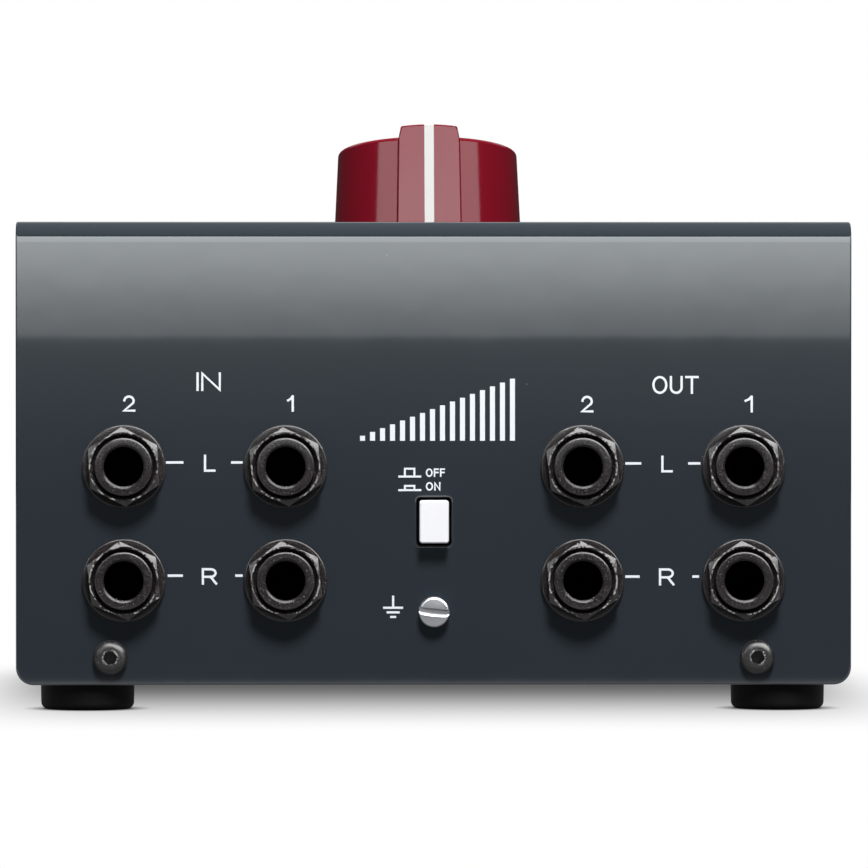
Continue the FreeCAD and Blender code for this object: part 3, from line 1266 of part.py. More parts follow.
def wafer_stack():
    """Index plate, four wafers with pins and resistors, rotors with wipers, spacers and tie screws."""
    plate = eared_plate("index_plate", "index_radius", "shaft_radius + running_gap")
    node(seat_on_deck(plate, z="-index_end"), "index_plate")
    levels = [f"-stack_top - spacer_length - {index} * wafer_pitch"
              for index in range(int(value("wafer_count")))]

    def at_levels(label, master):
        copies(label, master, [lambda link, z=z: seat_on_deck(link, z=z) for z in levels])

    first = "-(step_count - 1) / 2 * step_angle"
    sweep = "(step_count - 1) * step_angle"
    stator = eared_plate("stator_master", "wafer_radius", "rotor_radius + rotor_gap")
    slit = new_sketch(stator, "slit")
    middle_rectangle(slit, "0", "pin_radius", "pin_width", "pin_gauge")
    slits = feature("Pocket", slit, "wafer_gauge * 2")
    polar(stator, slits, "360 / step_angle", "360")
    at_levels("wafer_stators", stator)

    pins = new_body("pin_master")
    pin = new_sketch(pins, "pin", offset="-pin_length")
    middle_rectangle(pin, "pin_radius", "0", "pin_gauge", "pin_width")
    polar(pins, feature("Pad", pin, "pin_length"), "step_count", sweep)
    chips = new_body("chip_master")
    chip = new_sketch(chips, "chip", offset="-wafer_gauge - chip_gauge")
    middle_rectangle(chip, "chip_radius", "0", "chip_length", "chip_width")
    polar(chips, feature("Pad", chip, "chip_gauge"), "step_count - 1", "(step_count - 2) * step_angle")
    for label, ring, start in (("wafer_pins", pins, f"90 + {first}"),
                               ("attenuator_resistors", chips, f"90 + {first} + step_angle / 2")):
        pose = doc.addObject("Part::Compound", f"{label}_turned")
        pose.Links = [ring]
        seat(ring, turn=start, axis=(0, 0, 1))
        at_levels(label, pose)

    rotor = turned_body("rotor_master", [
        ("shaft_radius", "-wafer_gauge"), ("rotor_radius", "-wafer_gauge"), ("rotor_radius", "0"),
        ("hub_radius", "0"), ("hub_radius", "hub_height"), ("shaft_radius", "hub_height")])
    arm = new_sketch(rotor, "arm", offset="wiper_lift")
    rectangle(arm, "-wiper_width / 2", "wiper_width / 2", "hub_radius - cut_spare", "wiper_reach")
    feature("Pad", arm, "wiper_gauge")
    at_levels("wafer_rotors", rotor)

    sides = ("tie_offset", "-tie_offset")
    tube = turned_body("spacer_master", [
        ("tie_radius + tie_slack", "0"), ("spacer_radius", "0"),
        ("spacer_radius", "spacer_length"), ("tie_radius + tie_slack", "spacer_length")])
    copies("wafer_spacers", tube,
           [lambda link, x=x, z=z: seat_on_deck(link, x, "0", z) for x in sides for z in levels])
    tie = screw("tie_screw_master", "tie_head_radius", "tie_head_height", "tie_head_bevel",
                "stack_end - sheet_gauge - index_roof - tie_thread_gap", "tie_radius")
    slot = new_sketch(tie, "slot", offset="tie_head_height")
    middle_rectangle(slot, "0", "0", "2 * (tie_head_radius + cut_spare)", "tie_slot_width")
    feature("Pocket", slot, "tie_slot_depth")
    copies("tie_screws", tie, [lambda link, x=x: seat_upside_down(link, x, "0", "-stack_end") for x in sides])

    shaft = turned_body("volume_shaft", [
        ("0", "-shaft_end"), ("shaft_radius - shaft_chamfer", "-shaft_end"),
        ("shaft_radius", "shaft_chamfer - shaft_end"), ("shaft_radius", "shaft_top - shaft_chamfer"),
        ("shaft_radius - shaft_chamfer", "shaft_top"), ("0", "shaft_top")])
    node(seat_on_deck(shaft), "volume_shaft")


# ---------------------------------------------------------------- build and write

wrap_cover()
base_tray()
cover_screws()
feet()
earth_post()
jacks()
rear_board()
deck_board()
ribbon()
push_switches()
knob()
index_mechanism()
wafer_stack()
doc.recompute()

for thing in doc.Objects:
    if {"Invalid", "Error"} & set(thing.State):
        raise RuntimeError(f"{thing.Label} did not build: {thing.State}")
os.makedirs("parts", exist_ok=True)
for piece in NODES:
    if piece.Shape.isNull() or not piece.Shape.isValid() or not piece.Shape.Solids:
        raise RuntimeError(f"{piece.Label} has no sound solid")
for piece in NODES:
    piece.Shape.exportStep(f"parts/{piece.Label}.step")
    print(f"{piece.Label}: {len(piece.Shape.Solids)} solids, {piece.Shape.Volume:.1f} mm3")
print(f"{len(NODES)} sub-parts")
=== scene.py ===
"""Looks of a desktop monitor controller, built around its packed construction model.

Lengths inside the model classes are millimetres; a piece is scaled to metres when it is finished.
Points closer than CLOSE are the same point, and a cutting tool reaches OVER past what it cuts.
The row frame: +X is the user's right, +Y leaves the rear panel, +Z is up, the feet stand on Z = 0.
"""
import json
import logging
import math
from collections.abc import Callable, Iterable, Sequence
from dataclasses import dataclass
from enum import Enum
from functools import cache
from typing import ClassVar

import bmesh
import bpy
from mathutils import Matrix, Vector


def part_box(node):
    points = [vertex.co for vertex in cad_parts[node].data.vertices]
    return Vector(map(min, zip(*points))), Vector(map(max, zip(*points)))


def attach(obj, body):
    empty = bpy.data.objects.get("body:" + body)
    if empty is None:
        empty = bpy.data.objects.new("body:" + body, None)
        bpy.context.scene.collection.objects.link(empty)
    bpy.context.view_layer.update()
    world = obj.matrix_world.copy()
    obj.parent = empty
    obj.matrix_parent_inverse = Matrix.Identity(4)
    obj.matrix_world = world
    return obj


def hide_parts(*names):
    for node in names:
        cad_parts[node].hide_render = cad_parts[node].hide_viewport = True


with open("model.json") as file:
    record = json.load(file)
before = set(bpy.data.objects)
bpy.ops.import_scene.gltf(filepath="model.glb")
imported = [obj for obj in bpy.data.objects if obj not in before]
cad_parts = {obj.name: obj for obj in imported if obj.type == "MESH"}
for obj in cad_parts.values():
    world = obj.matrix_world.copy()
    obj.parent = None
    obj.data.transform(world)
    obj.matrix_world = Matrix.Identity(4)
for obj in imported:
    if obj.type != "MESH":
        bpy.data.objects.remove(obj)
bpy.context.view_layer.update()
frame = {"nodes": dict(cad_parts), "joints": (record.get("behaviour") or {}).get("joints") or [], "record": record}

MM = 0.001
CLOSE = 1e-4
OVER = 1.0
LOG = logging.getLogger("monitor_controller")
Mesh, Vert, Edge = bmesh.types.BMesh, bmesh.types.BMVert, bmesh.types.BMEdge
Thing, Material = bpy.types.Object, bpy.types.Material
Node, Socket, Tree = bpy.types.Node, bpy.types.NodeSocket, bpy.types.NodeTree
Profile = Sequence[tuple[float, float]]
Place = tuple[float, float, float]
Colour = tuple[float, float, float]


# ---------------------------------------------------------------- mesh helpers

class Carve(Enum):
    """What a boolean does with its tool."""

    CUT = "DIFFERENCE"
    JOIN = "UNION"
    KEEP = "INTERSECT"


class Step(Enum):
    """How finely a round shape is spun."""

    COARSE = 32
    FINE = 64
    SMOOTH = 128


def linked(name: str, bm: Mesh, material: Material | None = None) -> Thing:
    """Put a mesh into the scene as an object.

    Args:
        name: The name of both.
        bm: The mesh, which is freed.
        material: Its material, if it needs one.

    Returns:
        The object.
    """
    data = bpy.data.meshes.new(name)
    bm.to_mesh(data)
    bm.free()
    if material:
        data.materials.append(material)
    thing = bpy.data.objects.new(name, data)
    bpy.context.scene.collection.objects.link(thing)
    return thing


def baked(thing: Thing, *helpers: Thing) -> Mesh:
    """Apply an object's modifiers, and remove it and its helpers.

    Args:
        thing: The object with the modifiers.
        helpers: Objects that the modifiers point at.

    Returns:
        The finished mesh.
    """
    result = bmesh.new()
    result.from_object(thing, bpy.context.evaluated_depsgraph_get())
    for used in (thing, *helpers):
        mesh = used.data
        bpy.data.objects.remove(used)
        bpy.data.meshes.remove(mesh)
    return result


def carve(body: Mesh, tool: Mesh, how: Carve) -> Mesh:
    """Combine two closed meshes.

    Args:
        body: The mesh that is worked on.
        tool: The mesh that works on it.
        how: Cut the tool away, join it, or keep what both share.

    Returns:
        The combined mesh; both inputs are freed.
    """
    piece, cutter = linked("workpiece", body), linked("tool", tool)
    boolean = piece.modifiers.new("carve", "BOOLEAN")
    boolean.operation = how.value
    boolean.solver = "EXACT"
    boolean.object = cutter
    return baked(piece, cutter)


def thicken(sheet: Mesh, gauge: float) -> Mesh:
    """Give a sheet whose faces point outwards its thickness, inwards.

    Args:
        sheet: The open surface.
        gauge: The sheet's thickness.

    Returns:
        The closed shell.
    """
    piece = linked("workpiece", sheet)
    solid = piece.modifiers.new("gauge", "SOLIDIFY")
    solid.thickness = gauge
    solid.offset = -1.0
    solid.use_even_offset = True
    return baked(piece)


def soften(bm: Mesh, edges: Iterable[Edge], width: float, segments: int = 2) -> None:
    """Round some edges.

    Args:
        bm: The mesh.
        edges: The edges to round.
        width: How far the rounding reaches from each edge.
        segments: Faces across the rounding.
    """
    bmesh.ops.bevel(bm, geom=list(edges), offset=width, offset_type="OFFSET", segments=segments, profile=0.5,
                    affect="EDGES", clamp_overlap=True, material=-1)


def sharp_edges(bm: Mesh, least: float = 30.0,
                accept: Callable[[Vector], bool] = lambda middle: True) -> list[Edge]:
    """Find the edges that turn by more than an angle.

    Args:
        bm: The mesh.
        least: The smallest turn, in degrees.
        accept: A test of the edge's middle.

    Returns:
        The edges found.
    """
    limit = math.radians(least)
    return [edge for edge in bm.edges
            if edge.is_manifold and edge.calc_face_angle(0.0) > limit
            and accept((edge.verts[0].co + edge.verts[1].co) / 2)]


def rings(bm: Mesh, *places: tuple[float, float]) -> list[Edge]:
    """Find the edges of a spun shape that lie on given circles.

    Args:
        bm: The spun mesh.
        places: Radius and height of each circle.

    Returns:
        The edges on those circles.
    """
    close = 1e-3

    def on(vertex: Vert, radius: float, height: float) -> bool:
        """Tell whether a corner lies on a circle."""
        return abs(vertex.co.xy.length - radius) < close and abs(vertex.co.z - height) < close

    return [edge for edge in bm.edges
            if any(all(on(vertex, *place) for vertex in edge.verts) for place in places)]


def lathe(profile: Profile, steps: Step = Step.SMOOTH, ring: bool = False) -> Mesh:
    """Spin a half outline around the Z axis into a closed solid.

    Args:
        profile: Radius and height of each corner.
        steps: How finely it is spun.
        ring: True when the outline is a loop that leaves the axis free.

    Returns:
        The solid.
    """
    bm = bmesh.new()
    corners = [bm.verts.new((radius, 0.0, height)) for radius, height in profile]
    pairs = list(zip(corners, corners[1:]))
    if ring:
        pairs.append((corners[-1], corners[0]))
    edges = [bm.edges.new(pair) for pair in pairs]
    bmesh.ops.spin(bm, geom=corners + edges, cent=(0, 0, 0), axis=(0, 0, 1), dvec=(0, 0, 0),
                   angle=math.tau, steps=steps.value, use_merge=True, use_duplicate=False)
    bmesh.ops.remove_doubles(bm, verts=bm.verts[:], dist=CLOSE)
    bmesh.ops.recalc_face_normals(bm, faces=bm.faces[:])
    return bm


def block(width: float, depth: float, low: float, high: float,
          x: float = 0.0, y: float = 0.0) -> Mesh:
    """Make a plain block that stands along Z.

    Args:
        width: Size along X.
        depth: Size along Y.
        low: Height of its foot.
        high: Height of its top.
        x: Its middle along X.
        y: Its middle along Y.

    Returns:
        The block.
    """
    bm = bmesh.new()
    bmesh.ops.create_cube(bm, size=1.0)
    bmesh.ops.scale(bm, vec=(width, depth, high - low), verts=bm.verts[:])
    bmesh.ops.translate(bm, vec=(x, y, (low + high) / 2), verts=bm.verts[:])
    return bm


def drum(radius: float, low: float, high: float, steps: Step = Step.SMOOTH) -> Mesh:
    """Make a plain cylinder around the Z axis."""
    return lathe([(0, low), (radius, low), (radius, high), (0, high)], steps)


def grow(bm: Mesh, reach: Place) -> list[Vert]:
    """Extrude all faces of a flat mesh into a solid, or all its edges where it has no face.

    Args:
        bm: The mesh.
        reach: How far it is extruded.

    Returns:
        The corners at the far side.
    """
    solid = len(bm.faces) > 0
    grown = (bmesh.ops.extrude_face_region(bm, geom=bm.faces[:]) if solid
             else bmesh.ops.extrude_edge_only(bm, edges=bm.edges[:]))
    far = [item for item in grown["geom"] if isinstance(item, Vert)]
    bmesh.ops.translate(bm, vec=reach, verts=far)
    if solid:
        bmesh.ops.recalc_face_normals(bm, faces=bm.faces[:])
    return far


def prism(corners: Iterable[Place], reach: Place) -> Mesh:
    """Extrude a closed flat outline into a solid.

    Args:
        corners: The outline's corners.
        reach: How far it is extruded.

    Returns:
        The solid.
    """
    bm = bmesh.new()
    bm.faces.new([bm.verts.new(corner) for corner in corners])
    grow(bm, reach)
    return bm


def strip(corners: Iterable[Place], reach: Place) -> Mesh:
    """Extrude an open line into a folded sheet without thickness.

    Args:
        corners: The line's corners.
        reach: How far it is extruded.

    Returns:
        The open sheet.
    """
    bm = bmesh.new()
    spots = [bm.verts.new(corner) for corner in corners]
    for pair in zip(spots, spots[1:]):
        bm.edges.new(pair)
    grow(bm, reach)
    return bm


def round_points(bm: Mesh, points: Iterable[Vert], width: float, segments: int) -> None:
    """Round corners of a sheet in its own plane."""
    bmesh.ops.bevel(bm, geom=list(points), offset=width, offset_type="OFFSET", segments=segments, profile=0.5,
                    affect="VERTICES", clamp_overlap=True, material=-1)


def upright(bm: Mesh) -> list[Edge]:
    """Return the edges that run along Z."""
    return [edge for edge in bm.edges
            if (edge.verts[0].co - edge.verts[1].co).xy.length < CLOSE < edge.calc_length()]


def level(bm: Mesh, height: float) -> list[Edge]:
    """Return the edges that lie at one height."""
    return [edge for edge in bm.edges if all(abs(vertex.co.z - height) < CLOSE for vertex in edge.verts)]


def hexagon(flats: float, low: float, high: float, turn: float = 0.0) -> Mesh:
    """Make a hexagonal bar along Z.

    Args:
        flats: Width across flats.
        low: Height of its foot.
        high: Height of its top.
        turn: Angle of its first corner from the X axis, in degrees.

    Returns:
        The bar.
    """
    bm = bmesh.new()
    bmesh.ops.create_circle(bm, cap_ends=True, segments=6, radius=flats / 2 / math.cos(math.radians(30)),
                            matrix=Matrix.Translation((0, 0, low)) @ Matrix.Rotation(math.radians(turn - 90), 4, "Z"))
    grow(bm, (0, 0, high - low))
    return bm


def merged(parts: Sequence[Mesh]) -> Mesh:
    """Put several meshes into one and free them.

    Args:
        parts: The meshes.

    Returns:
        The whole.
    """
    whole = bmesh.new()
    for part in parts:
        mesh = bpy.data.meshes.new("part")
        part.to_mesh(mesh)
        part.free()
        whole.from_mesh(mesh)
        bpy.data.meshes.remove(mesh)
    return whole


def moved(bm: Mesh, matrix: Matrix) -> Mesh:
    """Return a copy of a mesh in another place.

    Args:
        bm: The mesh, which stays.
        matrix: The change of place.

    Returns:
        The copy.
    """
    copy = bm.copy()
    bmesh.ops.transform(copy, matrix=matrix, verts=copy.verts[:])
    return copy


def finished(name: str, bm: Mesh, palette: "Palette", slot: str, nodes: Sequence[str] = (),
             body: str = "chassis", finish: str = "", least: float = 32.0,
             weighted: bool = True) -> Thing:
    """Turn a mesh in millimetres into a piece of the model.

    Args:
        name: The piece's name.
        bm: Its mesh in the row frame, which is freed.
        palette: The finishes.
        slot: The record's material slot.
        nodes: The construction nodes that it stands for.
        body: The body that it moves with.
        finish: Its finish, where that isn't the slot's own.
        least: Edges that turn by more than this many degrees stay sharp.
        weighted: Whether large faces keep their own normals.

    Returns:
        The piece.
    """
    bmesh.ops.scale(bm, vec=(MM, MM, MM), verts=bm.verts[:])
    limit = math.radians(least)
    for edge in bm.edges:
        edge.smooth = edge.calc_face_angle(0.0) < limit
    for face in bm.faces:
        face.smooth = True
    piece = linked(name, bm, palette[finish or slot])
    if weighted:
        normals = piece.modifiers.new("panel_normals", "WEIGHTED_NORMAL")
        normals.keep_sharp = True
    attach(piece, body)
    if nodes:
        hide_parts(*nodes)
    LOG.info("%s: %d faces on %s", name, len(piece.data.polygons), body)
    return piece


# ---------------------------------------------------------------- materials

class Graph:
    """Adds nodes to one tree and joins them."""

    def __init__(self, tree: Tree) -> None:
        """Start with a tree."""
        self.tree = tree

    @classmethod
    def of(cls, owner: Material | bpy.types.World) -> "Graph":
        """Empty the tree of a new material or world and start with it.

        Args:
            owner: The material or world.

        Returns:
            The graph of its tree.
        """
        owner.use_nodes = True
        owner.node_tree.nodes.clear()
        return cls(owner.node_tree)

    def add(self, kind: str, settings: dict[str, object] | None = None, **inputs: object) -> Node:
        """Add a node.

        Args:
            kind: The node's type, without its ShaderNode prefix.
            settings: Properties of the node itself.
            inputs: Values or sockets for its inputs, with underscores for spaces.

        Returns:
            The node.
        """
        node = self.tree.nodes.new("ShaderNode" + kind)
        for key, value in (settings or {}).items():
            setattr(node, key, value)
        for key, value in inputs.items():
            self.feed(node.inputs[key.replace("_", " ")], value)
        return node

    def feed(self, socket: Socket, value: object) -> None:
        """Give an input a value, or join it to an output.

        Args:
            socket: The input.
            value: Its value, or the output that feeds it.
        """
        if isinstance(value, Socket):
            self.tree.links.new(value, socket)
        else:
            socket.default_value = value

    def maths(self, operation: str, first: object, second: object = 0.0) -> Socket:
        """Work out one arithmetic step and return its result.

        Args:
            operation: The step's name.
            first: Its first value or output.
            second: Its second value or output.

        Returns:
            The result.
        """
        node = self.tree.nodes.new("ShaderNodeMath")
        node.operation = operation
        self.feed(node.inputs[0], first)
        self.feed(node.inputs[1], second)
        return node.outputs[0]

    def mix(self, share: object, first: object, second: object) -> Socket:
        """Blend two colours and return the result.

        Args:
            share: How much of the second colour shows.
            first: The first colour or output.
            second: The second colour or output.

        Returns:
            The blend.
        """
        node = self.tree.nodes.new("ShaderNodeMix")
        node.data_type = "RGBA"
        self.feed(node.inputs[0], share)
        self.feed(node.inputs[6], first)
        self.feed(node.inputs[7], second)
        return node.outputs[2]


class Effect:
    """Builds the surface effects that several finishes share, once each."""

    @staticmethod
    def group(name: str, outputs: Sequence[str], **inputs: float) -> tuple[Graph, Node, Node]:
        """Start a node group.

        Args:
            name: The effect's name.
            outputs: Its value outputs.
            inputs: Its value inputs with their defaults, beside the Vector input.

        Returns:
            Its tree, its input node and its output node.
        """
        tree = bpy.data.node_groups.new(name, "ShaderNodeTree")
        tree.interface.new_socket(name="Vector", in_out="INPUT", socket_type="NodeSocketVector")
        for label, default in inputs.items():
            socket = tree.interface.new_socket(name=label, in_out="INPUT", socket_type="NodeSocketFloat")
            socket.default_value = default
        for label in outputs:
            tree.interface.new_socket(name=label, in_out="OUTPUT", socket_type="NodeSocketFloat")
        return Graph(tree), tree.nodes.new("NodeGroupInput"), tree.nodes.new("NodeGroupOutput")

    @staticmethod
    @cache
    def drift() -> Tree:
        """Slow change of a value over the surface.

        Returns:
            The node group.
        """
        graph, start, end = Effect.group("value_drift", ["Value"], Scale=30.0, Low=0.2, High=0.3)
        slow = graph.add("TexNoise", Vector=start.outputs["Vector"], Scale=start.outputs["Scale"], Detail=3.0,
                         Roughness=0.55)
        spread = graph.maths("SUBTRACT", start.outputs["High"], start.outputs["Low"])
        graph.feed(end.inputs["Value"],
                   graph.maths("ADD", start.outputs["Low"], graph.maths("MULTIPLY", slow.outputs[0], spread)))
        return graph.tree

    @staticmethod
    @cache
    def grain() -> Tree:
        """Fine moulded or sprayed grain as a height from 0 to 1, and its peaks as a mask.

        Returns:
            The node group.
        """
        graph, start, end = Effect.group("fine_grain", ["Height", "Peaks"], Scale=2000.0)
        noise = graph.add("TexNoise", Vector=start.outputs["Vector"], Scale=start.outputs["Scale"], Detail=2.0,
                          Roughness=0.6)
        graph.feed(end.inputs["Height"], noise.outputs[0])
        peaks = graph.add("MapRange", Value=noise.outputs[0], From_Min=0.56, From_Max=0.72)
        graph.feed(end.inputs["Peaks"], peaks.outputs[0])
        return graph.tree

    @staticmethod
    @cache
    def specks() -> Tree:
        """Sparse round specks, such as dust or pits, as a mask.

        Returns:
            The node group.
        """
        graph, start, end = Effect.group("sparse_specks", ["Mask"], Scale=200.0, Size=0.1, Share=0.1)
        cells = graph.add("TexVoronoi", Vector=start.outputs["Vector"], Scale=start.outputs["Scale"])
        near = graph.maths("LESS_THAN", cells.outputs["Distance"], start.outputs["Size"])
        pick = graph.add("SeparateColor", Color=cells.outputs["Color"])
        chosen = graph.maths("LESS_THAN", pick.outputs[0], start.outputs["Share"])
        graph.feed(end.inputs["Mask"], graph.maths("MULTIPLY", near, chosen))
        return graph.tree

    @staticmethod
    @cache
    def streaks() -> Tree:
        """Fine drawn lines along X, as a value from 0 to 1.

        Returns:
            The node group.
        """
        graph, start, end = Effect.group("drawn_streaks", ["Value"], Scale=3000.0)
        lie = graph.add("Mapping", Vector=start.outputs["Vector"], Scale=(0.04, 1.0, 1.0))
        noise = graph.add("TexNoise", Vector=lie.outputs[0], Scale=start.outputs["Scale"], Detail=4.0,
                          Roughness=0.7)
        graph.feed(end.inputs["Value"], noise.outputs[0])
        return graph.tree


def place_group(graph: Graph, tree: Tree, vector: object, **values: float) -> Node:
    """Put an effect into a material with its own values.

    Args:
        graph: The material's tree.
        tree: The effect.
        vector: The coordinates that it reads.
        values: Its inputs.

    Returns:
        The group node.
    """
    node = graph.tree.nodes.new("ShaderNodeGroup")
    node.node_tree = tree
    graph.feed(node.inputs["Vector"], vector)
    for key, value in values.items():
        graph.feed(node.inputs[key], value)
    return node


def opaque(colour: Colour, factor: float = 1.0) -> tuple[float, float, float, float]:
    """Return a colour with full alpha, made lighter or darker by a factor."""
    return (*(channel * factor for channel in colour), 1.0)


@dataclass(frozen=True)
class Finish:
    """A surface finish: a base colour that varies a little, a roughness that drifts, and a fine relief.

    A finish with a hollow reach has painted shade inside holes about that deep, in metres: ambient occlusion dims its
    gloss there.
    """

    TONE_SCALE: ClassVar[float] = 45.0
    ROUGH_SCALE: ClassVar[float] = 140.0
    OPEN_GLOSS: ClassVar[float] = 0.6
    MOST_GLOSS: ClassVar[float] = 0.5

    name: str
    colour: Colour
    rough_low: float
    rough_high: float
    vary: float = 0.08
    grain_scale: float = 2000.0
    grain_height: float = 0.0
    metallic: float = 0.0
    ior: float = 1.5
    hollow: float = 0.0

    def shader(self, graph: Graph) -> Node:
        """Add the shader with its constant values.

        Args:
            graph: The material's tree.

        Returns:
            The Principled BSDF.
        """
        shader = graph.add("BsdfPrincipled", Metallic=self.metallic, IOR=self.ior)
        graph.add("OutputMaterial", Surface=shader.outputs[0])
        return shader

    def dress(self, graph: Graph, where: Socket, shader: Node) -> None:
        """Join colour, roughness and relief to the shader.

        Args:
            graph: The material's tree.
            where: Object coordinates.
            shader: The Principled BSDF.
        """
        tone = place_group(graph, Effect.drift(), where, Scale=self.TONE_SCALE, Low=0.0, High=1.0)
        base = graph.mix(tone.outputs[0], opaque(self.colour, 1.0 - self.vary), opaque(self.colour, 1.0 + self.vary))
        graph.feed(shader.inputs["Base Color"], self.tinted(graph, where, base))
        rough = place_group(graph, Effect.drift(), where, Scale=self.ROUGH_SCALE, Low=self.rough_low,
                            High=self.rough_high)
        graph.feed(shader.inputs["Roughness"], rough.outputs[0])
        if self.hollow > 0.0:
            # Painted shade: ambient occlusion dims the gloss inside holes, so the bores read dark.
            occlusion_shade = graph.add("AmbientOcclusion", {"samples": 6}, Distance=self.hollow)
            gloss = graph.maths("MULTIPLY", graph.maths("POWER", occlusion_shade.outputs["AO"], 2.0), self.OPEN_GLOSS)
            graph.feed(shader.inputs["Specular IOR Level"], graph.maths("MINIMUM", gloss, self.MOST_GLOSS))
        if self.grain_height > 0.0:
            bump = graph.add("Bump", Height=self.relief(graph, where), Distance=self.grain_height, Strength=1.0)
            graph.feed(shader.inputs["Normal"], bump.outputs[0])

    def tinted(self, graph: Graph, where: Socket, base: Socket) -> Socket:
        """Return the base colour; finishes with a pattern change it."""
        return base

    def relief(self, graph: Graph, where: Socket) -> Socket:
        """Return the height of the fine relief."""
        return place_group(graph, Effect.grain(), where, Scale=self.grain_scale).outputs["Height"]

    def make(self) -> Material:
        """Build the material.

        Returns:
            The material.
        """
        material = bpy.data.materials.new(self.name)
        graph = Graph.of(material)
        where = graph.add("TexCoord").outputs["Object"]
        self.dress(graph, where, self.shader(graph))
        material.diffuse_color = opaque(self.colour)
        return material


@dataclass(frozen=True)
class SprayedPaint(Finish):
    """Glossy sprayed paint: a long soft peel and a few dust nibs."""

    nib_colour: Colour = (0.2, 0.22, 0.24)
    nib_share: float = 0.35

    def tinted(self, graph: Graph, where: Socket, base: Socket) -> Socket:
        """Add faint dust nibs to the paint."""
        nibs = place_group(graph, Effect.specks(), where, Scale=260.0, Size=0.04, Share=0.05)
        return graph.mix(graph.maths("MULTIPLY", nibs.outputs[0], self.nib_share), base, opaque(self.nib_colour))


@dataclass(frozen=True)
class MouldedGrain(Finish):
    """Moulded plastic with a sparkling grain: the peaks of the grain are paler."""

    peak_colour: Colour = (0.12, 0.1, 0.1)
    peak_share: float = 0.5

    def tinted(self, graph: Graph, where: Socket, base: Socket) -> Socket:
        """Lighten the peaks of the grain."""
        peaks = place_group(graph, Effect.grain(), where, Scale=self.grain_scale).outputs["Peaks"]
        return graph.mix(graph.maths("MULTIPLY", peaks, self.peak_share), base, opaque(self.peak_colour))


@dataclass(frozen=True)
class DrawnMetal(Finish):
    """Plated or turned metal with drawn streaks and a few pits."""

    streak_scale: float = 3000.0
    streak_tone: float = 0.55
    streak_share: float = 0.45
    pit_colour: Colour = (0.2, 0.2, 0.2)
    pit_share: float = 0.5

    def tinted(self, graph: Graph, where: Socket, base: Socket) -> Socket:
        """Darken the streaks and add pits.

        Args:
            graph: The material's tree.
            where: Object coordinates.
            base: The drifting base colour.

        Returns:
            The changed colour.
        """
        lines = place_group(graph, Effect.streaks(), where, Scale=self.streak_scale).outputs[0]
        lined = graph.mix(graph.maths("MULTIPLY", lines, self.streak_share), base,
                          opaque(self.colour, self.streak_tone))
        pits = place_group(graph, Effect.specks(), where, Scale=1500.0, Size=0.25, Share=0.16)
        return graph.mix(graph.maths("MULTIPLY", pits.outputs[0], self.pit_share), lined, opaque(self.pit_colour))

    def relief(self, graph: Graph, where: Socket) -> Socket:
        """Use the streaks as the relief."""
        return place_group(graph, Effect.streaks(), where, Scale=self.streak_scale).outputs[0]


@dataclass(frozen=True)
class Laminate(Finish):
    """Printed board or phenolic sheet: a woven cross grain under the surface."""

    weave_scale: float = 150.0
    weave_colour: Colour = (0.1, 0.32, 0.18)
    weave_share: float = 0.4

    def tinted(self, graph: Graph, where: Socket, base: Socket) -> Socket:
        """Let the woven glass show through the resin.

        Args:
            graph: The material's tree.
            where: Object coordinates.
            base: The drifting base colour.

        Returns:
            The changed colour.
        """
        warp, weft = (graph.add("TexWave", {"bands_direction": way}, Vector=where, Scale=self.weave_scale,
                                Distortion=0.6).outputs["Fac"] for way in "XY")
        weave = graph.maths("MULTIPLY", warp, weft)
        return graph.mix(graph.maths("MULTIPLY", weave, self.weave_share), base, opaque(self.weave_colour))


@dataclass(frozen=True)
class RibbonPlastic(Finish):
    """Flat cable: parallel cores show as ridges across X."""

    core_pitch: float = 1.27 * MM

    def relief(self, graph: Graph, where: Socket) -> Socket:
        """Make one ridge for each core.

        Args:
            graph: The material's tree.
            where: Object coordinates.

        Returns:
            The height.
        """
        across = graph.add("SeparateXYZ", Vector=where)
        turn = graph.maths("MULTIPLY", across.outputs[0], math.tau / self.core_pitch)
        return graph.maths("ABSOLUTE", graph.maths("SINE", turn))


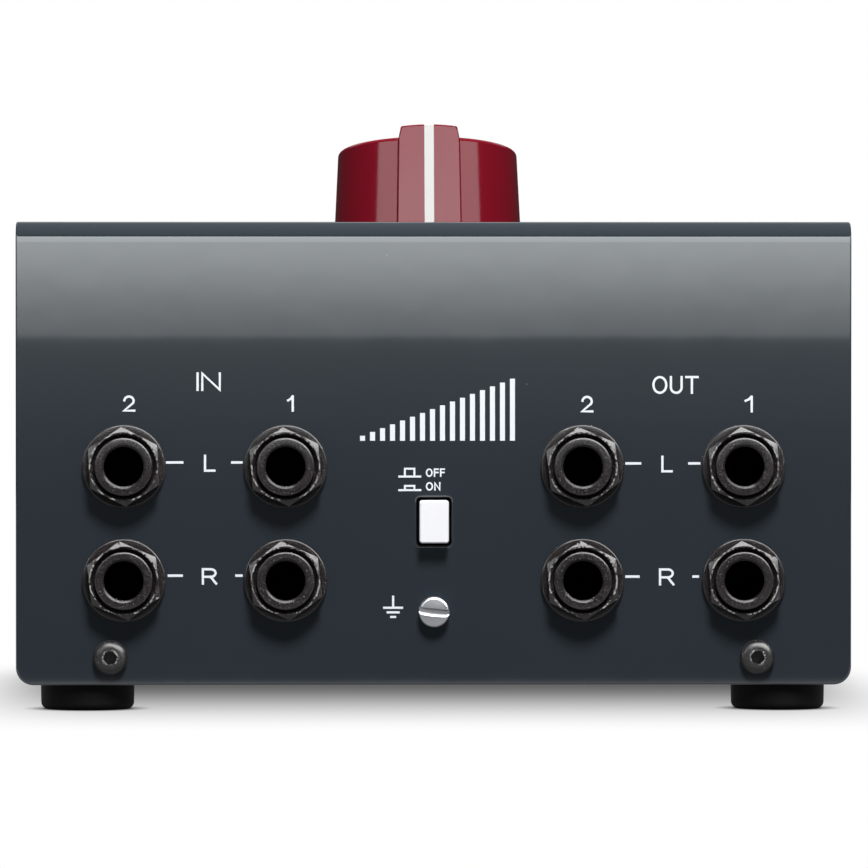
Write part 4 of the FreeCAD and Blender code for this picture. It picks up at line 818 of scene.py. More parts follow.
FINISHES: dict[str, Finish] = {
    "slate_paint": SprayedPaint("slate_paint", (0.022, 0.0285, 0.036), 0.04, 0.06, vary=0.05, grain_scale=70.0,
                                grain_height=6e-6, ior=1.76),
    "black_steel": MouldedGrain("black_oxide", (0.009, 0.0075, 0.0078), 0.28, 0.4, grain_scale=4200.0,
                                grain_height=9e-6, peak_colour=(0.09, 0.075, 0.077), ior=1.5),
    "zinc_steel": DrawnMetal("zinc_plate", (0.46, 0.465, 0.49), 0.24, 0.42, vary=0.3, metallic=1.0,
                             grain_height=5e-6, streak_scale=2200.0, pit_colour=(0.02, 0.02, 0.024)),
    "cast_zinc": DrawnMetal("die_cast_zinc", (0.45, 0.45, 0.46), 0.4, 0.55, metallic=1.0, grain_height=2e-6,
                            streak_scale=900.0),
    "brass": DrawnMetal("bright_brass", (0.72, 0.5, 0.22), 0.2, 0.35, metallic=1.0, grain_height=1e-6,
                        pit_colour=(0.3, 0.2, 0.08)),
    "rubber": MouldedGrain("foot_rubber", (0.0028, 0.0025, 0.0026), 0.5, 0.68, grain_scale=2600.0,
                           grain_height=8e-6, peak_colour=(0.006, 0.0055, 0.0055), ior=1.2),
    # The jacks' bores get painted shade: occlusion within 8 mm dims their gloss.
    "jack_plastic": MouldedGrain("jack_nylon", (0.0085, 0.0068, 0.0072), 0.2, 0.3, grain_scale=3600.0,
                                 grain_height=8e-6, peak_colour=(0.1, 0.082, 0.083), ior=1.5, hollow=8 * MM),
    "board_green": Laminate("solder_mask", (0.01, 0.09, 0.04), 0.25, 0.35, grain_height=4e-6),
    "switch_plastic": MouldedGrain("switch_plastic", (0.02, 0.02, 0.021), 0.4, 0.55, grain_scale=3000.0,
                                   grain_height=5e-6, peak_colour=(0.05, 0.05, 0.05)),
    "white_plastic": MouldedGrain("white_button_plastic", (0.84, 0.84, 0.865), 0.22, 0.3, vary=0.015,
                                  grain_scale=1500.0, grain_height=2e-6, peak_colour=(0.88, 0.88, 0.9)),
    "red_plastic": Finish("deep_red_plastic", (0.150, 0.0028, 0.0105), 0.08, 0.14, vary=0.05, grain_scale=600.0,
                          grain_height=1.5e-6, ior=1.43),
    "ribbon_grey": RibbonPlastic("ribbon_vinyl", (0.33, 0.34, 0.36), 0.4, 0.5, grain_height=2e-4),
    "wafer_laminate": Laminate("phenolic_sheet", (0.2, 0.11, 0.045), 0.4, 0.5, grain_height=4e-6,
                               weave_scale=250.0, weave_colour=(0.28, 0.17, 0.08)),
    "resistor_film": MouldedGrain("resistor_film", (0.015, 0.015, 0.018), 0.3, 0.4, grain_scale=4000.0,
                                  grain_height=3e-6),
    "ink": Finish("white_ink", (0.74, 0.77, 0.82), 0.4, 0.5, vary=0.03, grain_scale=2500.0, grain_height=2e-6),
    "line": Finish("pointer_line_fill", (0.50, 0.495, 0.485), 0.3, 0.4, vary=0.03, grain_scale=1800.0,
                   grain_height=2e-6),
}


class Palette:
    """Builds each finish once."""

    def __init__(self) -> None:
        """Make the materials of the record's slots, the printing ink and the pointer's line."""
        self.made = {name: finish.make() for name, finish in FINISHES.items()}

    def __getitem__(self, name: str) -> Material:
        """Return the material of a slot or finish."""
        return self.made[name]


# ---------------------------------------------------------------- the frame, in millimetres

@dataclass(frozen=True)
class CaseFrame:
    """Places read from the construction model."""

    half_width: float
    rear: float
    front: float
    base: float
    knob: Vector
    slope: float

    @classmethod
    def read(cls) -> "CaseFrame":
        """Read the case's box and the knob's axis.

        Returns:
            The places.
        """
        low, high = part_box("wrap_cover")
        turn = next(joint for joint in frame["joints"] if joint["name"] == "volume_turn")
        axis = Vector(turn["axis"])
        return cls(high.x / MM, high.y / MM, low.y / MM, low.z / MM, Vector(turn["pos_m"]) / MM,
                   math.atan2(-axis.y, axis.z))

    def deck_height(self, y: float) -> float:
        """Return the height of the deck's outer face."""
        return self.knob.z + (y - self.knob.y) * math.tan(self.slope)

    def on_deck(self, x: float = 0.0, y: float = 0.0, z: float = 0.0) -> Matrix:
        """Return the place of a piece drawn in the deck's frame."""
        return (Matrix.Translation(self.knob) @ Matrix.Rotation(self.slope, 4, "X")
                @ Matrix.Translation((x, y, z)))

    def on_rear(self, x: float, z: float) -> Matrix:
        """Return the place of a piece whose Z axis leaves the rear panel and whose Y axis points down."""
        return Matrix.Translation((x, self.rear, z)) @ Matrix.Rotation(-math.pi / 2, 4, "X")

    def on_front(self, x: float, z: float) -> Matrix:
        """Return the place of a piece whose Z axis leaves the front panel."""
        return Matrix.Translation((x, self.front, z)) @ Matrix.Rotation(math.pi / 2, 4, "X")

    def rear_seat(self, node: str) -> Matrix:
        """Return the place on the rear panel of a construction node's middle."""
        spot = middle(node)
        return self.on_rear(spot.x, spot.z)

    def selectors(self) -> list[Vector]:
        """Return the middles of the four deck caps in the deck's frame."""
        return [self.on_deck().inverted() @ middle(f"selector_cap_{number}") for number in range(1, 5)]


def jack_nodes() -> list[str]:
    """Return the names of the eight jack nodes."""
    return [node for node in frame["nodes"] if node.startswith(("input_jack", "output_jack"))]


def panel_screws() -> tuple[float, float]:
    """Return how far the panel screws are from the middle, and their height, in millimetres."""
    low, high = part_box("rear_cover_screws")
    return high.x / MM - (high.z - low.z) / MM / 2, (high.z + low.z) / MM / 2


def middle(node: str) -> Vector:
    """Return the middle of a construction node's box, in millimetres."""
    low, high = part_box(node)
    return (low + high) / 2 / MM


# ---------------------------------------------------------------- case

@dataclass
class FoldedCase:
    """The painted cover and tray, each folded from one sheet."""

    case: CaseFrame
    palette: Palette
    gauge: float = 1.5
    bend: float = 2.9
    rear_bend: float = 3.4
    edge: float = 0.45
    seam: float = 0.15
    fold_segments: int = 16
    window_width: float = 5.79
    window_height: float = 8.02
    window_corner: float = 0.65
    nose_hole: float = 4.9
    plain_margin: float = 1.0
    screw_hole: float = 1.7
    bushing_hole: float = 4.9
    tab_width: float = 13.0
    tab_height: float = 8.2
    corner_segments: int = 8
    edge_segments: int = 3

    def cover(self) -> Thing:
        """Fold the front panel, deck and rear panel, and cut their openings.

        Returns:
            The piece.
        """
        case = self.case
        corners = [(case.rear, case.base), (case.rear, case.deck_height(case.rear)),
                   (case.front, case.deck_height(case.front)), (case.front, case.base)]
        sheet = strip([(-case.half_width, y, z) for y, z in corners], (2 * case.half_width, 0, 0))
        quarter = math.pi / 4
        for (y, z), turn, radius in ((corners[1], quarter + case.slope / 2, self.rear_bend),
                                     (corners[2], quarter - case.slope / 2, self.bend)):
            fold = [edge for edge in sheet.edges
                    if all(abs(v.co.y - y) < CLOSE and abs(v.co.z - z) < CLOSE for v in edge.verts)]
            soften(sheet, fold, radius * math.tan(turn), self.fold_segments)
        round_points(sheet, [v for v in sheet.verts if abs(v.co.z - case.base) < CLOSE], self.bend,
                     self.corner_segments)
        self.face_outwards(sheet)
        shell = thicken(sheet, self.gauge)
        shell = carve(shell, self.openings(), Carve.CUT)
        jacks = [middle(node) for node in jack_nodes()]

        def is_seen(spot: Vector) -> bool:
            """Tell whether a place is clear of the jacks' holes."""
            return all((spot.xz - jack.xz).length > self.nose_hole + self.plain_margin for jack in jacks)

        soften(shell, sharp_edges(shell, least=50.0, accept=is_seen), self.edge, self.edge_segments)
        return finished("wrap_cover_sheet", shell, self.palette, "slate_paint", ["wrap_cover"])

    def face_outwards(self, sheet: Mesh) -> None:
        """Turn the faces of a sheet away from the middle of the case.

        Args:
            sheet: The open sheet.
        """
        heart = Vector((0.0, (self.case.rear + self.case.front) / 2, self.case.knob.z / 2))
        bmesh.ops.recalc_face_normals(sheet, faces=sheet.faces[:])
        sheet.normal_update()
        largest = max(sheet.faces, key=lambda face: face.calc_area())
        if largest.normal.dot(largest.calc_center_median() - heart) < 0:
            bmesh.ops.reverse_faces(sheet, faces=sheet.faces[:])

    def openings(self) -> Mesh:
        """Make the cutters of every opening in the cover.

        Returns:
            The cutters in one mesh.
        """
        reach = 3.0
        case = self.case
        window = block(self.window_width, self.window_height, -reach, reach)
        soften(window, upright(window), self.window_corner, segments=5)
        nose = drum(self.nose_hole, -reach, reach, Step.FINE)
        screw = drum(self.screw_hole, -reach, reach, Step.COARSE)
        bushing = drum(self.bushing_hole, -reach, reach, Step.FINE)
        cutters = [moved(window, case.rear_seat("rear_button_cap")), moved(bushing, case.on_deck())]
        cutters += [moved(window, case.on_deck(spot.x, spot.y)) for spot in case.selectors()]
        cutters += [moved(nose, case.rear_seat(node)) for node in jack_nodes()]
        reach_x, level_z = panel_screws()
        for x in (-reach_x, reach_x):
            cutters += [moved(screw, case.on_rear(x, level_z)), moved(screw, case.on_front(x, level_z))]
        cutters.append(moved(screw, case.rear_seat("ground_screw")))
        for tool in (window, nose, screw, bushing):
            tool.free()
        return merged(cutters)

    def tray(self) -> Thing:
        """Fold the floor and side walls, with a tab behind each panel screw.

        Returns:
            The piece.
        """
        case = self.case
        inset = self.gauge + self.seam
        drop = inset / math.cos(case.slope)
        rear, front = case.rear - inset, case.front + inset
        rise = case.deck_height(rear) - drop
        corners = [(case.half_width, rise), (case.half_width, case.base), (-case.half_width, case.base),
                   (-case.half_width, rise)]
        sheet = strip([(x, rear, z) for x, z in corners], (0, front - rear, 0))
        lip = [v for v in sheet.verts if v.co.z > case.base + self.bend and abs(v.co.y - front) < CLOSE]
        bmesh.ops.translate(sheet, vec=(0, 0, case.deck_height(front) - case.deck_height(rear)), verts=lip)
        fold = [edge for edge in sheet.edges if all(abs(v.co.z - case.base) < CLOSE for v in edge.verts)
                and abs(edge.verts[0].co.y - edge.verts[1].co.y) > 1.0]
        soften(sheet, fold, self.bend, self.fold_segments)
        round_points(sheet, [v for v in sheet.verts if v.co.z > case.base + self.bend + 1.0],
                     self.bend - self.gauge, segments=6)
        self.face_outwards(sheet)
        shell = thicken(sheet, self.gauge)
        soften(shell, sharp_edges(shell, least=50.0), self.edge, self.edge_segments)
        reach_x, _ = panel_screws()
        tabs = []
        for x in (-reach_x, reach_x):
            for y in (rear - self.gauge / 2, front + self.gauge / 2):
                tab = block(self.tab_width, self.gauge, case.base + self.gauge / 2, case.base + self.tab_height, x, y)
                soften(tab, sharp_edges(tab), self.edge)
                tabs.append(tab)
        return finished("base_tray_sheet", merged([shell, *tabs]), self.palette, "slate_paint", ["base_tray"])


# ---------------------------------------------------------------- jacks

@dataclass
class JackPanel:
    """Eight moulded jacks with hexagonal ring nuts."""

    case: CaseFrame
    palette: Palette
    nose: float = 4.78
    proud: float = 3.5
    bore: float = 3.28
    depth: float = 28.5
    mouth: float = 0.34
    nose_round: float = 0.3
    housing_width: float = 16.0
    housing_height: float = 17.6
    housing_back: float = 30.5
    housing_corner: float = 1.2
    gauge: float = 1.5
    flange: float = 6.87
    flange_gauge: float = 0.9
    flange_round: float = 0.3
    flats: float = 11.4
    nut_height: float = 3.0
    nut_bore: float = 4.84
    nut_mouth: float = 0.62
    nut_turn: float = 35.0
    nut_bevel: float = 30.0
    nut_corner: float = 0.14
    crown_foot: float = 0.2
    cone_spare: float = 0.5
    nut_edge: float = 0.05
    slack: float = 2.0
    slack_step: float = 2.4

    def jack(self) -> Mesh:
        """Make one jack: housing behind the panel, nose and plug bore.

        Returns:
            The jack; its Z axis leaves the panel.
        """
        body = block(self.housing_width, self.housing_height, -self.housing_back, -self.gauge)
        soften(body, upright(body), self.housing_corner, segments=1)
        nose = drum(self.nose, -self.gauge - OVER, self.proud)
        soften(nose, rings(nose, (self.nose, self.proud)), self.nose_round, segments=5)
        body = carve(body, nose, Carve.JOIN)
        flare = self.bore + self.mouth
        bore = lathe([(0, -self.depth), (self.bore, -self.depth), (self.bore, self.proud - self.mouth),
                      (flare, self.proud), (flare + OVER, self.proud + OVER), (0, self.proud + OVER)])
        return carve(body, bore, Carve.CUT)

    def ring_nut(self) -> Mesh:
        """Make one ring nut: a flanged hexagon with bevelled corners and a countersunk thread.

        Returns:
            The nut; its Z axis leaves the panel.
        """
        reach = self.flats / 2 / math.cos(math.radians(30)) + self.cone_spare
        crown = hexagon(self.flats, self.crown_foot, self.nut_height, self.nut_turn)
        soften(crown, upright(crown), self.nut_corner)
        drop = (reach - self.flats / 2) * math.tan(math.radians(self.nut_bevel))
        cone = lathe([(0, 0), (reach, 0), (reach, self.nut_height - drop), (self.flats / 2, self.nut_height),
                      (0, self.nut_height)])
        nut = carve(crown, cone, Carve.KEEP)
        flange = drum(self.flange, 0, self.flange_gauge)
        soften(flange, rings(flange, (self.flange, self.flange_gauge)), self.flange_round, segments=4)
        nut = carve(nut, flange, Carve.JOIN)
        mouth = self.nut_bore + self.nut_mouth
        thread = lathe([(0, -OVER), (self.nut_bore, -OVER), (self.nut_bore, self.nut_height - self.nut_mouth),
                        (mouth, self.nut_height), (mouth + OVER, self.nut_height + OVER), (0, self.nut_height + OVER)])
        nut = carve(nut, thread, Carve.CUT)
        above = self.flange_gauge + self.flange_round
        soften(nut, sharp_edges(nut, least=25.0, accept=lambda spot: spot.z > above), self.nut_edge)
        return nut

    def build(self) -> list[Thing]:
        """Place a jack and a nut at each of the eight bores.

        Returns:
            The pieces.
        """
        jack, nut = self.jack(), self.ring_nut()
        pieces = []
        for index, node in enumerate(sorted(jack_nodes())):
            place = self.case.rear_seat(node)
            pieces.append(finished(f"{node}_moulding", moved(jack, place), self.palette, "jack_plastic", [node],
                                   least=28.0))
            slack = Matrix.Rotation(math.radians(self.slack * math.sin(self.slack_step * index)), 4, "Z")
            pieces.append(finished(f"{node}_ring_nut", moved(nut, place @ slack), self.palette, "jack_plastic",
                                   ["jack_ring_nuts"], least=22.0))
        jack.free()
        nut.free()
        return pieces


# ---------------------------------------------------------------- buttons and knob

@dataclass
class PushButtons:
    """White rectangular caps: one on the rear panel, four on the deck."""

    case: CaseFrame
    palette: Palette
    width: float = 4.85
    height: float = 7.08
    length: float = 6.4
    proud: float = 2.2
    corner: float = 0.45
    edge: float = 0.3

    def cap(self) -> Mesh:
        """Make one cap with softened corners.

        Returns:
            The cap; its Z axis leaves the panel.
        """
        bm = block(self.width, self.height, self.proud - self.length, self.proud)
        soften(bm, upright(bm), self.corner, segments=4)
        soften(bm, level(bm, self.proud), self.edge, segments=4)
        return bm

    def build(self) -> list[Thing]:
        """Place the caps.

        Returns:
            The pieces.
        """
        cap = self.cap()
        places = {"rear_button_cap": ("rear_button", self.case.rear_seat("rear_button_cap"))}
        for number, spot in enumerate(self.case.selectors(), start=1):
            places[f"selector_cap_{number}"] = (f"selector_{number}", self.case.on_deck(spot.x, spot.y))
        pieces = [finished(f"{node}_moulding", moved(cap, place), self.palette, "white_plastic", [node], body)
                  for node, (body, place) in places.items()]
        cap.free()
        return pieces


@dataclass
class PointerKnob:
    """Skirted knob with a bar across its dished top and a white line along the bar."""

    case: CaseFrame
    palette: Palette
    gap: float = 0.8
    base: float = 16.4
    rim: float = 15.4
    skirt: float = 21.95
    rim_width: float = 1.7
    dish: float = 0.8
    rim_round: float = 0.7
    dish_round: float = 0.3
    base_round: float = 0.25
    top: float = 23.9
    bar_width: float = 9.75
    bar_end: float = 15.9
    bar_foot: float = 1.2
    bar_draft: float = 2.1
    knee_drop: float = 2.3
    knee_width: float = 10.4
    foot_width: float = 11.05
    bar_crown: float = 0.3
    bar_corner: float = 0.3
    crown_steps: int = 5
    shoulder: float = 0.4
    shoulder_steps: int = 4
    fillet: float = 0.3
    fillet_steps: int = 6
    web_sink: float = 1.0
    web_inset: float = 0.5
    line_width: float = 1.6
    line_depth: float = 0.6
    hollow: float = 10.2
    hollow_top: float = 7.4
    insert: float = 5.0
    insert_top: float = 18.0

    def spread(self) -> float:
        """Return how much wider the bar is at its foot than at its top, on each side."""
        return (self.top - self.bar_foot) * math.tan(math.radians(self.bar_draft))

    def bar(self) -> Mesh:
        """Make the pointer bar: leaning sides, a crowned top with round shoulders, and a leaning end.

        Returns:
            The bar.
        """
        near, far = self.rim_width - self.rim, self.bar_end
        shoulder = self.top - self.bar_crown
        half = self.bar_width / 2
        side = [(self.foot_width / 2, self.bar_foot), (self.knee_width / 2, self.top - self.knee_drop)]
        for turn in (math.pi / 2 * step / self.shoulder_steps for step in range(self.shoulder_steps + 1)):
            side.append((half - self.shoulder * (1 - math.cos(turn)), shoulder - self.shoulder * (1 - math.sin(turn))))
        shares = [1 - step / self.crown_steps for step in range(1, self.crown_steps + 1)]
        crown = [((half - self.shoulder) * share, self.top - self.bar_crown * share ** 2) for share in shares]
        right = side + crown
        outline = right + [(-x, z) for x, z in reversed(right[:-1])]
        bm = prism([(x, near, z) for x, z in outline], (0, far - near, 0))
        for vertex in bm.verts:
            lean = (self.top - vertex.co.z) * math.tan(math.radians(self.bar_draft))
            vertex.co.y += math.copysign(lean, vertex.co.y - (near + far) / 2)
        bmesh.ops.recalc_face_normals(bm, faces=bm.faces[:])
        rim = [edge for edge in bm.edges if min(v.co.y for v in edge.verts) > far - 0.01
               and max(v.co.z for v in edge.verts) > self.bar_foot + 0.01]
        soften(bm, rim, self.bar_corner, segments=3)
        return bm

    def web(self, side: float) -> Mesh:
        """Make the hollow fillet between the bar's side and the skirt.

        Args:
            side: 1 or -1, the side of the bar.

        Returns:
            An upright solid with a hollow face that touches both.
        """
        bm = bmesh.new()
        loops = []
        top = self.skirt - self.rim_round / 2
        for height, wide in ((self.bar_foot, self.foot_width), (top, self.knee_width)):
            share = (height - self.gap) / (self.skirt - self.gap)
            skirt = self.base + (self.rim - self.base) * share
            x = wide / 2 + self.fillet
            y = math.sqrt((skirt + self.fillet) ** 2 - x * x)
            turns = [math.atan2(y, x) * step / self.fillet_steps for step in range(self.fillet_steps + 1)]
            arc = [(x - self.fillet * math.cos(turn), y - self.fillet * math.sin(turn)) for turn in turns]
            inside = (skirt - self.web_sink) / (skirt + self.fillet)
            heart = wide / 2 - self.web_inset
            loop = [*arc, (x * inside, y * inside), (heart, y * inside), (heart, y)]
            loops.append([bm.verts.new((side * px, py, height)) for px, py in loop])
        low, high = loops
        bm.faces.new(low)
        bm.faces.new(high)
        for index in range(len(low)):
            after = (index + 1) % len(low)
            bm.faces.new((low[index], low[after], high[after], high[index]))
        bmesh.ops.recalc_face_normals(bm, faces=bm.faces[:])
        return bm

    def skirt_mesh(self) -> Mesh:
        """Spin the skirt with its rim and dished top.

        Returns:
            The skirt.
        """
        inner = self.rim - self.rim_width
        bm = lathe([(0, self.gap), (self.base, self.gap), (self.rim, self.skirt), (inner, self.skirt),
                    (inner - self.dish, self.skirt - self.dish), (0, self.skirt - self.dish)])
        soften(bm, rings(bm, (self.rim, self.skirt)), self.rim_round, segments=5)
        soften(bm, rings(bm, (inner, self.skirt), (inner - self.dish, self.skirt - self.dish)), self.dish_round,
               segments=3)
        soften(bm, rings(bm, (self.base, self.gap)), self.base_round, segments=2)
        return bm

    def line_tool(self) -> Mesh:
        """Make the slab that splits the white line from the knob: along the bar's top and down its end.

        Returns:
            The slab.
        """
        lean = self.spread()
        deep = self.line_depth
        outline = [(0.0, self.top - deep), (self.bar_end - deep, self.top - deep),
                   (self.bar_end + lean - deep, self.bar_foot), (self.bar_end + lean + OVER, self.bar_foot),
                   (self.bar_end + OVER, self.top + OVER), (0.0, self.top + OVER)]
        return prism([(-self.line_width / 2, y, z) for y, z in outline], (self.line_width, 0, 0))

    def build(self) -> list[Thing]:
        """Make the knob and its inlaid line.

        Returns:
            The knob and its line.
        """
        whole = carve(self.skirt_mesh(), self.bar(), Carve.JOIN)
        for side in (1.0, -1.0):
            whole = carve(whole, self.web(side), Carve.JOIN)
        line = carve(whole.copy(), self.line_tool(), Carve.KEEP)
        body = carve(whole, self.line_tool(), Carve.CUT)
        cavity = lathe([(0, 0), (self.hollow, 0), (self.hollow, self.hollow_top), (self.insert, self.hollow_top),
                        (self.insert, self.insert_top), (0, self.insert_top)], Step.FINE)
        body = carve(body, cavity, Carve.CUT)
        place = self.case.on_deck()
        for bm in (body, line):
            bmesh.ops.transform(bm, matrix=place, verts=bm.verts[:])
        return [
            finished("knob_moulding", body, self.palette, "red_plastic", ["knob_body"], "volume", least=25.0),
            finished("pointer_line", line, self.palette, "white_plastic", ["pointer_inlay"], "volume", "line",
                     least=25.0),
        ]


# ---------------------------------------------------------------- screws and feet

@dataclass
class Hardware:
    """Button-head panel screws, the slotted earth screw and the rubber feet."""

    case: CaseFrame
    palette: Palette
    shank: float = 1.5
    button_radius: float = 2.85
    button_height: float = 1.65
    button_dome: float = 1.35
    button_length: float = 6.0
    socket_flats: float = 2.1
    socket_depth: float = 2.2
    socket_edge: float = 0.04
    head_turns: tuple[float, float] = (12.0, 47.0)
    earth_radius: float = 2.52
    earth_height: float = 1.7
    earth_round: float = 0.4
    earth_dome: float = 0.16
    dome_steps: int = 6
    earth_length: float = 9.0
    slot_width: float = 0.75
    slot_rise: float = 0.22
    slot_depth: float = 0.5
    slot_edge: float = 0.06
    slot_lean: float = 1.7
    slot_tilt: float = -6.0
    foot_top: float = 7.78
    foot_base: float = 7.7
    foot_height: float = 4.3
    foot_round: float = 1.1
    recess: float = 3.6
    recess_round: float = 0.4
    web: float = 2.0
    foot_hole: float = 1.7

    def button_screw(self) -> Mesh:
        """Make a domed screw with a hexagon socket.

        Returns:
            The screw.
        """
        top = self.button_height
        screw = lathe([(0, -self.button_length), (self.shank, -self.button_length), (self.shank, 0),
                       (self.button_radius, 0), (self.button_radius, top), (0, top)])
        soften(screw, rings(screw, (self.button_radius, top)), self.button_dome, segments=10)
        screw = carve(screw, hexagon(self.socket_flats, top - self.socket_depth, top + OVER), Carve.CUT)
        soften(screw, sharp_edges(screw, least=50.0, accept=lambda spot: spot.z > top - 0.2), self.socket_edge)
        return screw

    def earth_screw(self) -> Mesh:
        """Make the slotted screw.

        Returns:
            The screw.
        """
        top = self.earth_height
        rim = top - self.earth_dome
        shares = [step / self.dome_steps for step in range(self.dome_steps - 1, 0, -1)]
        crown = [(self.earth_radius * share, top - self.earth_dome * share ** 2) for share in shares]
        screw = lathe([(0, -self.earth_length), (self.shank, -self.earth_length), (self.shank, 0),
                       (self.earth_radius, 0), (self.earth_radius, rim), *crown, (0, top)])
        soften(screw, rings(screw, (self.earth_radius, rim)), self.earth_round, segments=6)
        slot = block(4 * self.earth_radius, self.slot_width, top - self.slot_depth, top + OVER)
        for vertex in slot.verts:
            if vertex.co.y > 0 and vertex.co.z > top:
                vertex.co.y += self.slot_lean
        bmesh.ops.translate(slot, vec=(0, -self.slot_rise, 0), verts=slot.verts[:])
        bmesh.ops.rotate(slot, matrix=Matrix.Rotation(math.radians(self.slot_tilt), 3, "Z"), verts=slot.verts[:])
        screw = carve(screw, slot, Carve.CUT)
        soften(screw, sharp_edges(screw, least=40.0, accept=lambda spot: spot.z > top - self.slot_depth + 0.1),
               self.slot_edge)
        return screw

    def foot(self) -> Mesh:
        """Make a rubber foot with a rounded lower edge and a screw recess.

        Returns:
            The foot.
        """
        high = self.foot_height
        foot = lathe([(self.foot_hole, high), (self.foot_top, high), (self.foot_base, 0), (self.recess, 0),
                      (self.recess, high - self.web), (self.foot_hole, high - self.web)], ring=True)
        soften(foot, rings(foot, (self.foot_base, 0)), self.foot_round, segments=7)
        soften(foot, rings(foot, (self.recess, 0)), self.recess_round, segments=3)
        return foot

    def build(self) -> list[Thing]:
        """Place the screws and the feet.

        Returns:
            The pieces.
        """
        case, palette = self.case, self.palette
        low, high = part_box("rear_cover_screws")
        reach = high.x / MM - self.button_radius
        height = (low.z + high.z) / 2 / MM
        screw = self.button_screw()
        pieces = []
        for node, seat in (("rear_cover_screws", case.on_rear), ("front_cover_screws", case.on_front)):
            both = merged([moved(screw, seat(x, height) @ Matrix.Rotation(math.radians(turn), 4, "Z"))
                           for x, turn in zip((reach, -reach), self.head_turns)])
            pieces.append(finished(f"{node}_heads", both, palette, "black_steel", [node], least=28.0))
        screw.free()
        earth = self.earth_screw()
        pieces.append(finished("earth_screw", moved(earth, case.rear_seat("ground_screw")), palette, "zinc_steel",
                               ["ground_screw"], least=28.0))
        earth.free()
        foot = self.foot()
        low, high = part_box("rubber_feet")
        reach = high.x / MM - self.foot_top
        ends = (low.y / MM + self.foot_top, high.y / MM - self.foot_top)
        for number, (x, y) in enumerate(((x, y) for x in (-reach, reach) for y in ends), start=1):
            pieces.append(finished(f"rubber_foot_{number}", moved(foot, Matrix.Translation((x, y, 0))), palette,
                                   "rubber", ["rubber_feet"]))
        foot.free()
        return pieces


# ---------------------------------------------------------------- printing

@dataclass(frozen=True)
class PanelGrid:
    """Turns points of an 868 by 868 rear view into places on the rear panel."""

    case: CaseFrame
    middle_x: float = 433.5
    bottom_y: float = 685.5
    per_mm: float = 6.06

    def x(self, pixel: float) -> float:
        """Return the place along X, in millimetres."""
        return (self.middle_x - pixel) / self.per_mm

    def z(self, pixel: float) -> float:
        """Return the height, in millimetres."""
        return self.case.base + (self.bottom_y - pixel) / self.per_mm

    def size(self, box: "Word | Stroke") -> tuple[float, float]:
        """Return a box's width and height, in millimetres."""
        return (box.right - box.left) / self.per_mm, (box.bottom - box.top) / self.per_mm


@dataclass(frozen=True)
class Word:
    """A plain word or number with the box that it fills in the rear view: left, right, top, bottom."""

    text: str
    left: float
    right: float
    top: float
    bottom: float
    pen: float = 2.3


@dataclass(frozen=True)
class Stroke:
    """A straight printed bar with its box in the rear view: left, right, top, bottom."""

    left: float
    right: float
    top: float
    bottom: float


def bow(middle_x: float, middle_y: float, radius_x: float, radius_y: float, start: float, end: float,
        steps: int = 16) -> list[tuple[float, float]]:
    """Return points along part of an ellipse, with angles in degrees from the X axis."""
    angles = [math.radians(start + (end - start) * step / steps) for step in range(steps + 1)]
    return [(middle_x + radius_x * math.cos(angle), middle_y + radius_y * math.sin(angle)) for angle in angles]


@dataclass(frozen=True)
class Glyph:
    """A plain drawn character: its width for a height of 1, and the centre lines of its strokes in a unit box."""

    width: float
    strokes: tuple[tuple[tuple[float, float], ...], ...]


def glyph(width: float, *strokes: Sequence[tuple[float, float]]) -> Glyph:
    """Return a character made of open or closed centre lines."""
    return Glyph(width, tuple(tuple(stroke) for stroke in strokes))


GLYPHS: dict[str, Glyph] = {
    "0": glyph(0.56, bow(0.5, 0.5, 0.5, 0.5, 90, 450, 40)),
    "1": glyph(0.36, [(0.0, 0.73), (0.5, 0.82), (0.8, 0.94), (0.94, 1.0)], [(1.0, 1.0), (1.0, 0.0)]),
    "2": glyph(0.6, [*bow(0.48, 0.69, 0.46, 0.31, 172, -32), (0.0, 0.0), (1.0, 0.0)]),
    "3": glyph(0.58, bow(0.45, 0.76, 0.47, 0.24, 165, -90), bow(0.45, 0.26, 0.54, 0.26, 90, -165)),
    "4": glyph(0.66, [(1.0, 0.28), (0.0, 0.28), (0.72, 1.0)], [(0.72, 1.0), (0.72, 0.0)]),
    "5": glyph(0.58, [(0.9, 1.0), (0.2, 1.0), (0.1, 0.56), *bow(0.47, 0.32, 0.5, 0.32, 120, -150)]),
    "F": glyph(0.58, [(0.0, 0.0), (0.0, 1.0), (1.0, 1.0)], [(0.0, 0.53), (0.9, 0.53)]),
    "I": glyph(0.0, [(0.0, 0.0), (0.0, 1.0)]),
    "L": glyph(0.58, [(0.0, 1.0), (0.0, 0.0), (1.0, 0.0)]),
    "N": glyph(0.72, [(0.0, 0.0), (0.0, 1.0), (1.0, 0.0), (1.0, 1.0)]),
    "O": glyph(0.86, bow(0.5, 0.5, 0.5, 0.5, 90, 450, 40)),
    "R": glyph(0.74, [(0.0, 0.0), (0.0, 1.0)], [(0.0, 1.0), *bow(0.6, 0.735, 0.36, 0.265, 90, -90), (0.0, 0.47)],
               [(0.6, 0.45), (1.0, 0.0)]),
    "T": glyph(0.76, [(0.0, 1.0), (1.0, 1.0)], [(0.5, 1.0), (0.5, 0.0)]),
    "U": glyph(0.72, [(0.0, 1.0), *bow(0.5, 0.34, 0.5, 0.34, 180, 360), (1.0, 1.0)]),
}


